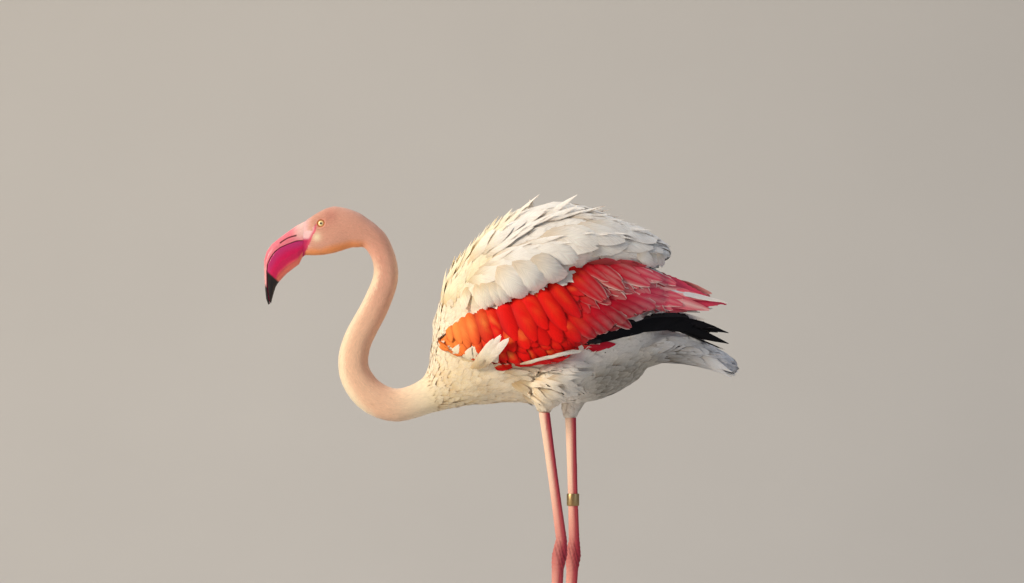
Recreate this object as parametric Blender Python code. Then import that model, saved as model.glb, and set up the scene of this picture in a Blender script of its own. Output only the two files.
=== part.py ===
"""A greater flamingo standing still, life size, as the solids of a museum model.

The bird faces -X and its left side is at -Y. The origin is on the floor, under the middle of its
box. Head, neck and trunk are one row of ribs, parted by thin cuts. Each rib has a dorsal point, a
ventral point and a half width. The coat's layers are lofts that lie on the trunk and are cut clear
of it and of each other.
"""

from math import cos, pi, sin, tau

import bmesh
import bpy
import numpy as np
from mathutils import Matrix, Vector

GAP = 0.0003  # between two pieces that meet
CUT_CLEARANCE = 0.0005  # a cutter is swollen by this, which leaves GAP after faceting
MERGE = 0.000001  # points nearer than this are one
BODY_STEPS = 2  # rings to a span of ribs
CREASE = 0.7  # edges sharper than this angle show as creases

# Ribs are (dorsal x, dorsal z, ventral x, ventral z, half width).
HEAD_RIBS = (
    (-0.2745, 0.7945, -0.2755, 0.7470, 0.0100),
    (-0.2620, 0.8030, -0.2620, 0.7465, 0.0130),
    (-0.2500, 0.8100, -0.2480, 0.7475, 0.0160),
    (-0.2350, 0.8155, -0.2330, 0.7500, 0.0183),
    (-0.2180, 0.8135, -0.2190, 0.7545, 0.0184),
    (-0.2030, 0.8085, -0.2070, 0.7580, 0.0182),
    (-0.1890, 0.8010, -0.1970, 0.7575, 0.0178),
)
# The neck's path from nape to chest is (x, z, radius).
NECK_PATH = (
    (-0.1780, 0.7700, 0.0176),
    (-0.1670, 0.7530, 0.0162),
    (-0.1610, 0.7330, 0.0168),
    (-0.1610, 0.7140, 0.0175),
    (-0.1670, 0.6950, 0.0182),
    (-0.1780, 0.6700, 0.0190),
    (-0.1890, 0.6500, 0.0194),
    (-0.2000, 0.6280, 0.0198),
    (-0.2060, 0.6050, 0.0208),
    (-0.2050, 0.5850, 0.0215),
    (-0.1980, 0.5690, 0.0224),
    (-0.1850, 0.5530, 0.0230),
    (-0.1660, 0.5415, 0.0234),
    (-0.1440, 0.5370, 0.0230),
    (-0.1220, 0.5420, 0.0228),
)
TRUNK_RIBS = (
    (-0.1080, 0.5760, -0.0950, 0.5270, 0.0240),
    (-0.0990, 0.5970, -0.0700, 0.5330, 0.0330),
    (-0.0960, 0.6350, -0.0370, 0.5380, 0.0500),
    (-0.0840, 0.6860, -0.0010, 0.5400, 0.0670),
    (-0.0480, 0.7380, 0.0300, 0.5390, 0.0780),
    (0.0000, 0.7740, 0.0550, 0.5390, 0.0815),
    (0.0520, 0.7900, 0.0860, 0.5390, 0.0800),
    (0.1060, 0.7840, 0.1250, 0.5420, 0.0730),
    (0.1560, 0.7580, 0.1650, 0.5560, 0.0600),
    (0.1930, 0.7180, 0.1980, 0.5800, 0.0460),
    (0.2180, 0.6740, 0.2190, 0.6060, 0.0290),
    (0.2290, 0.6450, 0.2290, 0.6270, 0.0110),
)
NECK_SIDE = 0.94  # a neck's width over its depth
RIB_POWER = 2.15  # an ellipse is 2, and more is squarer
RIB_POINTS = 18
NECK_LENGTHS = 5

# Bill sections are (ridge x, ridge z, gape x, gape z, half width).
BILL_UPPER = (
    (-0.2750, 0.7940, -0.2750, 0.7682, 0.0098),
    (-0.2860, 0.7880, -0.2860, 0.7670, 0.0104),
    (-0.3000, 0.7782, -0.2975, 0.7628, 0.0107),
    (-0.3105, 0.7702, -0.3080, 0.7580, 0.0107),
    (-0.3200, 0.7626, -0.3157, 0.7522, 0.0106),
    (-0.3275, 0.7520, -0.3222, 0.7432, 0.0100),
    (-0.3308, 0.7400, -0.3262, 0.7340, 0.0092),
    (-0.3306, 0.7240, -0.3272, 0.7242, 0.0082),
    (-0.3296, 0.7020, -0.3270, 0.7050, 0.0066),
    (-0.3280, 0.6860, -0.3252, 0.6880, 0.0046),
    (-0.3250, 0.6775, -0.3232, 0.6795, 0.0024),
)
BILL_LOWER = (
    (-0.2765, 0.7460, -0.2755, 0.7672, 0.0098),
    (-0.2820, 0.7345, -0.2860, 0.7660, 0.0108),
    (-0.2900, 0.7285, -0.2975, 0.7617, 0.0113),
    (-0.2985, 0.7220, -0.3076, 0.7570, 0.0113),
    (-0.3045, 0.7160, -0.3150, 0.7514, 0.0110),
    (-0.3090, 0.7110, -0.3212, 0.7425, 0.0104),
    (-0.3125, 0.7065, -0.3250, 0.7335, 0.0096),
    (-0.3150, 0.7020, -0.3260, 0.7241, 0.0084),
    (-0.3178, 0.6930, -0.3258, 0.7062, 0.0064),
    (-0.3200, 0.6850, -0.3242, 0.6900, 0.0042),
    (-0.3212, 0.6795, -0.3226, 0.6815, 0.0022),
)
BILL_ARC_POINTS = 8
BILL_ARC_POWER = 0.8  # 1 is a round section, and less is squarer
EYE_CENTRE = (-0.2510, 0.0104, 0.7915)
EYE_RADIUS = 0.0056
EYE_SEGMENTS = 8
EYE_RINGS = 6

# Layers of coat are (x, y, z, half span, half thickness, lean of the span towards the midline).
COVERTS = (
    (-0.0880, 0.0500, 0.6250, 0.0060, 0.0045, 0.00),
    (-0.0700, 0.0610, 0.6300, 0.0180, 0.0095, 0.02),
    (-0.0320, 0.0745, 0.6340, 0.0350, 0.0130, 0.04),
    (0.0080, 0.0820, 0.6400, 0.0440, 0.0150, 0.08),
    (0.0440, 0.0850, 0.6470, 0.0520, 0.0155, 0.14),
    (0.0820, 0.0820, 0.6610, 0.0580, 0.0155, 0.22),
    (0.1220, 0.0740, 0.6820, 0.0560, 0.0150, 0.30),
    (0.1620, 0.0610, 0.6970, 0.0470, 0.0145, 0.34),
    (0.1980, 0.0500, 0.7020, 0.0350, 0.0115, 0.34),
    (0.2240, 0.0440, 0.7010, 0.0200, 0.0065, 0.34),
)
SCAPULARS = (
    (-0.0560, 0.0560, 0.6820, 0.0120, 0.0060, 0.55),
    (-0.0440, 0.0560, 0.6980, 0.0330, 0.0130, 0.58),
    (-0.0240, 0.0560, 0.7200, 0.0520, 0.0190, 0.60),
    (0.0050, 0.0540, 0.7400, 0.0660, 0.0240, 0.64),
    (0.0400, 0.0500, 0.7560, 0.0690, 0.0260, 0.68),
    (0.0780, 0.0460, 0.7680, 0.0600, 0.0265, 0.76),
    (0.1150, 0.0420, 0.7740, 0.0480, 0.0250, 0.88),
    (0.1500, 0.0370, 0.7700, 0.0390, 0.0220, 0.94),
    (0.1850, 0.0330, 0.7610, 0.0310, 0.0180, 0.92),
    (0.2180, 0.0290, 0.7520, 0.0230, 0.0120, 0.86),
    (0.2400, 0.0270, 0.7480, 0.0100, 0.0060, 0.80),
)
TERTIALS = (
    (0.1650, 0.0520, 0.7080, 0.0340, 0.0060, 0.30),
    (0.2000, 0.0460, 0.7040, 0.0330, 0.0060, 0.32),
    (0.2300, 0.0400, 0.6960, 0.0290, 0.0052, 0.32),
    (0.2580, 0.0355, 0.6900, 0.0225, 0.0042, 0.30),
    (0.2840, 0.0320, 0.6835, 0.0135, 0.0030, 0.28),
    (0.3040, 0.0300, 0.6805, 0.0055, 0.0018, 0.25),
    (0.3160, 0.0290, 0.6780, 0.0012, 0.0008, 0.20),
)
LAYER_POINTS = 12
# The collar of mantle feathers and the tail are ribs, like the trunk.
MANTLE_RIBS = (
    (-0.0910, 0.6640, -0.0750, 0.6520, 0.0300),
    (-0.0850, 0.6900, -0.0600, 0.6680, 0.0500),
    (-0.0705, 0.7240, -0.0380, 0.6880, 0.0640),
    (-0.0420, 0.7560, -0.0130, 0.7150, 0.0690),
    (-0.0215, 0.7765, 0.0040, 0.7360, 0.0640),
    (-0.0040, 0.7930, 0.0170, 0.7560, 0.0520),
    (0.0150, 0.8060, 0.0310, 0.7740, 0.0380),
    (0.0340, 0.8150, 0.0440, 0.7900, 0.0220),
)
TAIL_RIBS = (
    (0.1500, 0.6300, 0.1500, 0.5700, 0.0420),
    (0.2300, 0.6420, 0.2280, 0.5970, 0.0420),
    (0.2650, 0.6350, 0.2630, 0.5955, 0.0390),
    (0.2950, 0.6210, 0.2940, 0.5885, 0.0340),
    (0.3150, 0.6090, 0.3150, 0.5830, 0.0280),
    (0.3290, 0.5980, 0.3290, 0.5835, 0.0190),
)
PRIMARIES = (
    (0.1080, 0.0760, 0.6230, 0.0030, 0.0015, 0.20),
    (0.1350, 0.0715, 0.6310, 0.0090, 0.0024, 0.20),
    (0.1700, 0.0620, 0.6430, 0.0125, 0.0026, 0.20),
    (0.2150, 0.0470, 0.6545, 0.0140, 0.0026, 0.20),
    (0.2550, 0.0350, 0.6530, 0.0150, 0.0024, 0.15),
    (0.2750, 0.0300, 0.6480, 0.0140, 0.0020, 0.15),
)
# A long plume is (x, y, z) points from root to tip.
PRIMARY_TIPS = (
    ((0.2450, 0.0375, 0.6610), (0.2850, 0.0280, 0.6560), (0.3140, 0.0245, 0.6380)),
    ((0.2450, 0.0365, 0.6530), (0.2850, 0.0265, 0.6440), (0.3165, 0.0230, 0.6240)),
    ((0.2450, 0.0355, 0.6450), (0.2800, 0.0260, 0.6340), (0.3100, 0.0210, 0.6140)),
)
PRIMARY_HALF_WIDTH = 0.0062
MANTLE_PLUMES = (
    ((0.0000, 0.0100, 0.7860), (0.0300, 0.0090, 0.8130), (0.0550, 0.0080, 0.8280)),
    ((-0.0150, 0.0240, 0.7700), (0.0120, 0.0230, 0.7990), (0.0360, 0.0220, 0.8160)),
)
SCAPULAR_PLUMES = (
    ((0.0430, 0.0380, 0.7800), (0.0750, 0.0300, 0.8100), (0.1090, 0.0240, 0.8275)),
    ((0.0600, 0.0340, 0.7880), (0.0980, 0.0290, 0.8080), (0.1410, 0.0240, 0.8150)),
    ((0.1050, 0.0320, 0.7870), (0.1600, 0.0300, 0.7870), (0.2090, 0.0270, 0.7815)),
)
PLUME_HALF_WIDTH = 0.0060
PLUME_HALF_THICKNESS = 0.0018
PLUME_SIDES = 6
PLUME_STEPS = 2
PLUME_ROOT_SHARE = 0.6  # a plume's width at its root, as a share of its full width
PLUME_TIP_SHARE = 0.10
PLUME_TIP_THICKNESS = 0.35

# A leg is given by where it leaves its feathers, the ends of its hock and its ankle, as (x, z).
LEG_Y = 0.0400
LEGS = {
    "left": {
        "side": -1,
        "knee": (0.0610, 0.5280),
        "hock_top": (0.0850, 0.3510),
        "hock_foot": (0.0800, 0.3090),
        "ankle": (0.0700, 0.0180),
        "turn": 0.10,
    },
    "right": {
        "side": 1,
        "knee": (0.0985, 0.5200),
        "hock_top": (0.1035, 0.3460),
        "hock_foot": (0.1010, 0.3050),
        "ankle": (0.0860, 0.0180),
        "turn": -0.06,
    },
}
# A thigh's sections are (x behind the knee, z, y, half length, half width), and the last two are
# (z over the knee, y, half length, half width) right above it.
THIGH_ROWS = (
    (0.0340, 0.6200, 0.0540, 0.0100, 0.0060),
    (0.0330, 0.6040, 0.0610, 0.0280, 0.0160),
    (0.0240, 0.5780, 0.0590, 0.0360, 0.0220),
    (0.0120, 0.5560, 0.0500, 0.0290, 0.0200),
    (0.0030, 0.5400, 0.0440, 0.0170, 0.0140),
)
THIGH_CUFF = ((0.0060, 0.0405, 0.0105, 0.0092), (0.0, LEG_Y, 0.0088, 0.0078))
TIBIA_HALVES = ((0.0082, 0.0072), (0.0075, 0.0060), (0.0072, 0.0056), (0.0073, 0.0058), (0.0080, 0.0066))
TARSUS_HALVES = ((0.0086, 0.0072), (0.0070, 0.0056), (0.0062, 0.0048), (0.0060, 0.0047), (0.0068, 0.0056))
HOCK_HALVES = ((0.0082, 0.0068), (0.0097, 0.0080), (0.0110, 0.0092), (0.0104, 0.0088), (0.0088, 0.0074))
LIMB_POINTS = 11

TOE_ANGLES = {"inner": 0.42, "middle": 0.0, "outer": -0.42}
TOE_LENGTHS = {"inner": 0.0640, "middle": 0.0800, "outer": 0.0740}
TOE_START = 0.12  # the share of a toe's length where its first row stands
TOE_SLIMMEST = 0.17  # a toe's half width is never more than this share of the way from the ankle
TOE_SHARES = (0.0, 0.25, 0.5, 0.75, 1.0)
TOE_HALF_WIDTHS = (0.0075, 0.0054, 0.0045, 0.0041, 0.0034)
TOE_HEIGHTS = (0.0150, 0.0088, 0.0072, 0.0064, 0.0050)
TOE_PROFILE = ((-1.0, 0.45), (0.0, 1.0), (1.0, 0.45))
FOOT_ROWS = 8
TOE_ARCH_STEPS = 6
TOE_SHOULDER = 0.35  # the height of a toe's widest place, as a share of its own
TOE_BULGE = 1.08  # a toe's widest place over its sole's width
WEB_THICKNESS = 0.0012
WEB_FLOOR = 0.0006
WEB_SCALLOP = 0.82  # how far out the web's edge runs half-way between two toes
# The hub under the ankle is (half length, half width, z).
HUB_RINGS = (
    (0.0098, 0.0094, 0.0003),
    (0.0106, 0.0100, 0.0050),
    (0.0090, 0.0078, 0.0120),
    (0.0076, 0.0062, 0.0180),
)
# The hind toe and its claw are (distance behind the ankle, half width, top z, sole z).
HALLUX_RINGS = (
    (0.0040, 0.0048, 0.0125, 0.0035),
    (0.0130, 0.0036, 0.0095, 0.0022),
    (0.0210, 0.0026, 0.0058, 0.0008),
)
HIND_CLAW_RINGS = ((0.0, 0.0022, 0.0050, 0.0009), (0.0060, 0.0009, 0.0022, 0.0005))
HIND_TOE_ANGLE = 0.25
CLAW_LENGTH = 0.0085
CLAW_RINGS = ((0.0, 0.0030, 0.0046), (0.5, 0.0022, 0.0034), (1.0, 0.0009, 0.0014))

RING_HEIGHT = 0.0170
RING_WALL = 0.0009
RING_BOTTOM = 0.3950
RING_SLACK = 0.0003
RING_POINTS = 16


def smooth(rows, steps):
    """The rows of numbers with more rows between them, on a Catmull-Rom curve."""
    given = np.asarray(rows, float)
    ends = np.vstack([2 * given[0] - given[1], given, 2 * given[-1] - given[-2]])
    made = []
    for i in range(len(given) - 1):
        a, b, c, d = ends[i : i + 4]
        for t in np.arange(steps) / steps:
            bend = (2 * a - 5 * b + 4 * c - d) * t**2 + (3 * b - 3 * c + d - a) * t**3
            made.append(0.5 * (2 * b + (c - a) * t + bend))
    made.append(given[-1])
    return np.array(made)


def principled(name, colour, roughness, metallic=0.0):
    """A plain material of one colour."""
    material = bpy.data.materials.new(name)
    material.use_nodes = True
    shader = material.node_tree.nodes["Principled BSDF"]
    shader.inputs["Base Color"].default_value = (*colour, 1.0)
    shader.inputs["Roughness"].default_value = roughness
    shader.inputs["Metallic"].default_value = metallic
    material.diffuse_color = (*colour, 1.0)
    return material


def oval(centre, up, side, up_half, side_half, points, power=2.0):
    """A closed ring of points round centre, in the plane of up and side."""
    ring = []
    for k in range(points):
        c, s = cos(tau * k / points), sin(tau * k / points)
        along = up * up_half * np.copysign(abs(c) ** (2 / power), c)
        across = side * side_half * np.copysign(abs(s) ** (2 / power), s)
        ring.append(Vector(centre) + along + across)
    return ring


def loft(name, rings, material):
    """A closed solid through a row of rings, with a flat cap on each end."""
    bm = bmesh.new()
    rows = [[bm.verts.new(p) for p in ring] for ring in rings]
    count = len(rows[0])
    for one, two in zip(rows, rows[1:]):
        for k in range(count):
            n = (k + 1) % count
            bm.faces.new((one[k], one[n], two[n], two[k]))
    bm.faces.new(rows[0])
    bm.faces.new(rows[-1])
    bmesh.ops.recalc_face_normals(bm, faces=bm.faces)
    face_out(bm)
    mesh = bpy.data.meshes.new(name)
    bm.to_mesh(mesh)
    bm.free()
    return placed(name, mesh, material)


def placed(name, mesh, material):
    """An object in the scene that shows the mesh in the material, shaded smooth."""
    mesh.materials.clear()
    mesh.materials.append(material)
    mesh.shade_smooth()
    mesh.set_sharp_from_angle(angle=CREASE)
    made = bpy.data.objects.new(name, mesh)
    bpy.context.scene.collection.objects.link(made)
    return made


def drop(*helpers):
    """Removes helper objects."""
    for helper in helpers:
        bpy.data.objects.remove(helper)


def swollen(source, by=CUT_CLEARANCE):
    """A hidden copy of a solid, its surface moved out by that much, to cut its neighbours with."""
    bm = bmesh.new()
    bm.from_mesh(source.data)
    bmesh.ops.remove_doubles(bm, verts=bm.verts, dist=0.00001)
    bm.normal_update()
    moves = [(v, v.normal * by) for v in bm.verts]
    for v, move in moves:
        v.co += move
    mesh = bpy.data.meshes.new(source.name + "_cutter")
    bm.to_mesh(mesh)
    bm.free()
    cutter = bpy.data.objects.new(mesh.name, mesh)
    cutter.hide_render = True
    cutter.display_type = "WIRE"
    bpy.context.scene.collection.objects.link(cutter)
    return cutter


def largest_piece(mesh):
    """Keeps only the biggest of a mesh's separate pieces, facing out."""
    bm = bmesh.new()
    bm.from_mesh(mesh)
    bmesh.ops.remove_doubles(bm, verts=bm.verts, dist=MERGE)
    unseen, pieces = set(bm.faces), []
    while unseen:
        todo, piece = [unseen.pop()], set()
        while todo:
            face = todo.pop()
            piece.add(face)
            for edge in face.edges:
                for other in edge.link_faces:
                    if other in unseen:
                        unseen.remove(other)
                        todo.append(other)
        pieces.append(piece)
    biggest = max(pieces, key=lambda piece: sum(face.calc_area() for face in piece))
    loose = [face for face in bm.faces if face not in biggest]
    bmesh.ops.delete(bm, geom=loose, context="FACES")
    face_out(bm)
    bm.to_mesh(mesh)
    bm.free()


def face_out(bm):
    """Turns a closed mesh's faces outwards."""
    if bm.calc_volume(signed=True) < 0:
        bmesh.ops.reverse_faces(bm, faces=bm.faces)


def combine(solid, others, operation):
    """Bakes a Boolean of the solid with each of the others into its mesh."""
    for other in others:
        boolean = solid.modifiers.new("join_or_cut", "BOOLEAN")
        boolean.operation = operation
        boolean.solver = "EXACT"
        boolean.object = other
        graph = bpy.context.evaluated_depsgraph_get()
        graph.update()
        mesh = bpy.data.meshes.new_from_object(solid.evaluated_get(graph))
        solid.modifiers.clear()
        solid.data = mesh
    largest_piece(solid.data)
    solid.data.shade_smooth()
    solid.data.set_sharp_from_angle(angle=CREASE)
    return solid


def cut_clear(solid, *neighbours):
    """Cuts the solid back so that it clears its neighbours."""
    cutters = [swollen(n) for n in neighbours]
    combine(solid, cutters, "DIFFERENCE")
    drop(*cutters)
    return solid


def joined(solid, *others):
    """Makes the solid and the others one body."""
    combine(solid, others, "UNION")
    drop(*others)
    return solid


def other_side(solid, name):
    """A copy of a solid on the bird's right, mirrored from its left."""
    mesh = solid.data.copy()
    mesh.transform(Matrix.Scale(-1, 4, (0, 1, 0)))
    mesh.flip_normals()
    mesh.name = name
    return placed(name, mesh, solid.data.materials[0])


def rib_ring(rib, points=RIB_POINTS, power=RIB_POWER):
    """The ring of one rib."""
    dorsal, ventral = Vector((rib[0], 0, rib[1])), Vector((rib[2], 0, rib[3]))
    half = (dorsal - ventral) / 2
    side = Vector((0, -1, 0))
    return oval((dorsal + ventral) / 2, half.normalized(), side, half.length, rib[4], points, power)


def neck_ribs():
    """The neck's path as ribs square to it."""
    path = np.array(NECK_PATH)
    tangents = np.gradient(path[:, :2], axis=0)
    tangents /= np.linalg.norm(tangents, axis=1)[:, None]
    ribs = []
    for (x, z, r), (dx, dz) in zip(path, tangents):
        ribs.append((x - dz * r, z + dx * r, x + dz * r, z - dx * r, r * NECK_SIDE))
    return ribs


def cut_range(rings, first, last, open_start, open_end):
    """The rings from first to last, drawn in by half a gap at each end that meets a neighbour."""
    chosen = [list(ring) for ring in rings[first : last + 1]]
    for end, inner, wanted in ((0, 1, open_start), (-1, -2, open_end)):
        if wanted:
            a = sum(chosen[end], Vector()) / len(chosen[end])
            b = sum(chosen[inner], Vector()) / len(chosen[inner])
            step = (b - a).normalized() * GAP / 2
            chosen[end] = [p + step for p in chosen[end]]
    return chosen


def build_body(plumage):
    """Head, neck and trunk, parted by thin cuts. Returns them by name."""
    necks = neck_ribs()
    rings = [rib_ring(r) for r in smooth([*HEAD_RIBS, *necks, *TRUNK_RIBS], BODY_STEPS)]
    head_end = (len(HEAD_RIBS) - 1) * BODY_STEPS
    trunk_start = (len(HEAD_RIBS) + len(necks)) * BODY_STEPS
    cuts = np.linspace(head_end, trunk_start, NECK_LENGTHS + 1).round().astype(int)
    made = {"head": loft("head", cut_range(rings, 0, cuts[0], False, True), plumage)}
    for k in range(NECK_LENGTHS):
        name = f"neck_{k + 1}"
        made[name] = loft(name, cut_range(rings, cuts[k], cuts[k + 1], True, True), plumage)
    last = len(rings) - 1
    made["trunk"] = loft("trunk", cut_range(rings, trunk_start, last, True, False), plumage)
    return made


def bill_ring(section):
    """A half-round section: flat on the gape, domed towards the ridge."""
    ridge, gape = Vector((section[0], 0, section[1])), Vector((section[2], 0, section[3]))
    up = ridge - gape
    ring = []
    for k in range(BILL_ARC_POINTS + 1):
        a = pi * k / BILL_ARC_POINTS
        ring.append(gape + up * sin(a) ** BILL_ARC_POWER + Vector((0, section[4] * cos(a), 0)))
    return ring


def build_bill(horn, dark_horn, head):
    """Both halves of the bent bill, a little apart along the gape."""
    halves = []
    for name, sections, material in (
        ("bill_upper", BILL_UPPER, horn),
        ("bill_lower", BILL_LOWER, dark_horn),
    ):
        solid = loft(name, [bill_ring(s) for s in sections], material)
        halves.append(cut_clear(solid, head))
    return halves


def build_eyes(material, head):
    """The eyeballs, each in a socket cut in the head."""
    x, y, z = EYE_CENTRE
    eyes = []
    for name, side in (("eye_left", -1), ("eye_right", 1)):
        bm = bmesh.new()
        bmesh.ops.create_uvsphere(bm, u_segments=EYE_SEGMENTS, v_segments=EYE_RINGS, radius=EYE_RADIUS)
        mesh = bpy.data.meshes.new(name)
        bm.to_mesh(mesh)
        bm.free()
        turn = Matrix.Translation((x, side * y, z)) @ Matrix.Rotation(pi / 2, 4, "X")
        mesh.transform(turn)
        eyes.append(placed(name, mesh, material))
    cut_clear(head, *eyes)
    return eyes


def layer_ring(row):
    """The oval of one layer of coat on the bird's left, leaning in at its top."""
    x, y, z, span, thick, lean = row
    up = Vector((0, sin(lean), cos(lean)))
    out = Vector((0, -cos(lean), sin(lean)))
    return oval((x, -y, z), up, out, span, thick, LAYER_POINTS)


def build_layer(name, rows, material):
    """A layer of coat on the bird's left."""
    return loft(name, [layer_ring(r) for r in rows], material)


def plume(name, points, half_width, half_thickness, material):
    """A long feather as a thin bent blade that narrows to its tip, on the bird's left."""
    path = smooth([(x, -y, z) for x, y, z in points], PLUME_STEPS)
    rings = []
    for k, p in enumerate(path):
        ahead = Vector(path[min(k + 1, len(path) - 1)] - path[max(k - 1, 0)]).normalized()
        out = Vector((0, -1, 0))
        up = ahead.cross(out).normalized()
        if up.z < 0:
            up = -up
        share = k / (len(path) - 1)
        root = min(1, PLUME_ROOT_SHARE + 2 * share)
        wide = half_width * max(PLUME_TIP_SHARE, 1 - share**3) * root
        thick = half_thickness * max(PLUME_TIP_THICKNESS, 1 - share**2)
        rings.append(oval(p, up, up.cross(ahead), wide, thick, PLUME_SIDES))
    return loft(name, rings, material)


def plumes(name, paths, half_width, half_thickness, material):
    """Long feathers on the bird's left, one solid each."""
    return [
        plume(f"{name}_{k}", path, half_width, half_thickness, material)
        for k, path in enumerate(paths)
    ]


def build_mantle(material, trunk):
    """The collar of feathers over the shoulders, with plume tips on both sides."""
    mantle = loft("mantle", [rib_ring(r, LAYER_POINTS) for r in MANTLE_RIBS], material)
    tips = plumes("mantle_tip", MANTLE_PLUMES, PLUME_HALF_WIDTH, PLUME_HALF_THICKNESS, material)
    tips += [other_side(tip, tip.name + "_right") for tip in tips]
    joined(mantle, *tips)
    return cut_clear(mantle, trunk)


def build_coat(white, red, pink, black, trunk):
    """The layers of feathers that lie on the trunk, on both sides. Returns the coverts."""
    mantle = build_mantle(white, trunk)
    coverts = cut_clear(build_layer("wing_coverts_left", COVERTS, red), trunk)
    scapulars = build_layer("scapulars_left", SCAPULARS, white)
    tips = plumes("tip", SCAPULAR_PLUMES, PLUME_HALF_WIDTH, PLUME_HALF_THICKNESS, white)
    joined(scapulars, *tips)
    midline = midline_cutter()
    combine(scapulars, [midline], "DIFFERENCE")
    drop(midline)
    cut_clear(scapulars, mantle, trunk, coverts)
    tertials = cut_clear(build_layer("tertials_left", TERTIALS, pink), trunk, coverts, scapulars)

    primaries = build_layer("primaries_left", PRIMARIES, black)
    tips = plumes("primary_tip", PRIMARY_TIPS, PRIMARY_HALF_WIDTH, PLUME_HALF_THICKNESS, black)
    joined(primaries, *tips)
    cut_clear(primaries, trunk, coverts, tertials)

    far_coverts = other_side(coverts, "wing_coverts_right")
    other_side(scapulars, "scapulars_right")
    other_side(tertials, "tertials_right")
    far_primaries = other_side(primaries, "primaries_right")
    tail = loft("tail", [rib_ring(r, LAYER_POINTS) for r in TAIL_RIBS], white)
    cut_clear(tail, trunk, primaries, far_primaries)
    return coverts, far_coverts


def midline_cutter():
    """A block over the bird's right half, so that what is left of it stops at the midline."""
    bm = bmesh.new()
    bmesh.ops.create_cube(bm, size=2.0)
    mesh = bpy.data.meshes.new("midline_cutter")
    bm.to_mesh(mesh)
    bm.free()
    mesh.transform(Matrix.Translation((0, 1.0 - GAP / 2, 0)))
    cutter = bpy.data.objects.new("midline_cutter", mesh)
    cutter.hide_render = True
    cutter.display_type = "WIRE"
    bpy.context.scene.collection.objects.link(cutter)
    return cutter


def limb(name, top, bottom, y, halves, material):
    """A length of leg from top to bottom, both (x, z), level at each end."""
    rings = []
    for k, (along, across) in enumerate(halves):
        share = k / (len(halves) - 1)
        x = top[0] + (bottom[0] - top[0]) * share
        z = top[1] + (bottom[1] - top[1]) * share
        rings.append(oval((x, y, z), Vector((1, 0, 0)), Vector((0, 1, 0)), along, across, LIMB_POINTS))
    return loft(name, rings, material)


def below(point, by=GAP):
    """The point (x, z) that much lower."""
    return point[0], point[1] - by


def build_thigh(name, leg, material, *neighbours):
    """The feathered thigh: it swells from the trunk's side and narrows to a cuff on the leg."""
    knee_x, knee_z = leg["knee"]
    rows = [(knee_x + back, *row) for back, *row in THIGH_ROWS]
    rows += [(knee_x, knee_z + rise, *row) for rise, *row in THIGH_CUFF]
    rings = [
        oval((x, leg["side"] * y, z), Vector((1, 0, 0)), Vector((0, 1, 0)), along, across, LIMB_POINTS)
        for x, z, y, along, across in rows
    ]
    return cut_clear(loft(name, rings, material), *neighbours)


def toe_ring(base, ahead, distance, half_width, height, floor=0.0):
    """A flat-soled section of a claw or hind toe, as a ring that stands square to it."""
    side = Vector((-ahead.y, ahead.x, 0))
    centre = base + ahead * distance
    sole = [centre + side * half_width, centre - side * half_width]
    for p in sole:
        p.z = floor
    arch = []
    for k in range(1, TOE_ARCH_STEPS):
        a = pi * k / TOE_ARCH_STEPS
        rise = floor + (height - floor) * (TOE_SHOULDER + (1 - TOE_SHOULDER) * sin(a))
        bulge = side * half_width * TOE_BULGE * cos(a)
        arch.append(centre - bulge + Vector((0, 0, rise)))
    return sole + arch


def heading(leg, angle):
    """The way that a toe points on the floor. The bird faces -X, and the inner toe is inboard."""
    a = leg["turn"] + leg["side"] * angle
    return Vector((-cos(a), -sin(a), 0))


def foot_rows(base, leg):
    """Rows of (top point, sole height) across the three toes and the webs between them."""
    names = list(TOE_ANGLES)
    shares = np.linspace(TOE_START, 1.0, FOOT_ROWS)
    rows = []
    for share in shares:
        row = []
        for toe in names:
            ahead = heading(leg, TOE_ANGLES[toe])
            side = Vector((-ahead.y, ahead.x, 0)) * -leg["side"]
            reach = TOE_LENGTHS[toe] * share
            half = float(np.interp(share, TOE_SHARES, TOE_HALF_WIDTHS))
            half = min(half, reach * TOE_SLIMMEST)
            height = float(np.interp(share, TOE_SHARES, TOE_HEIGHTS))
            for across, rise in TOE_PROFILE:
                point = base + ahead * reach + side * half * across
                point.z = height * rise
                row.append((point, 0.0))
        rows.append(row)
    return rows


def with_webs(rows, base):
    """The rows with a web point between each two toes, drawn back to hollow the front edge."""
    wide = len(TOE_PROFILE)
    made = []
    for k, row in enumerate(rows):
        share = k / (FOOT_ROWS - 2)
        full = row[:wide]
        for toe in (1, 2):
            edge, following = row[toe * wide - 1][0], row[toe * wide][0]
            middle = (edge + following) / 2
            middle = base + (middle - base) * (1 - (1 - WEB_SCALLOP) * share**2)
            middle.z = WEB_FLOOR + WEB_THICKNESS
            full = full + [(middle, WEB_FLOOR)] + row[toe * wide : (toe + 1) * wide]
        made.append(full)
    return made


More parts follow.
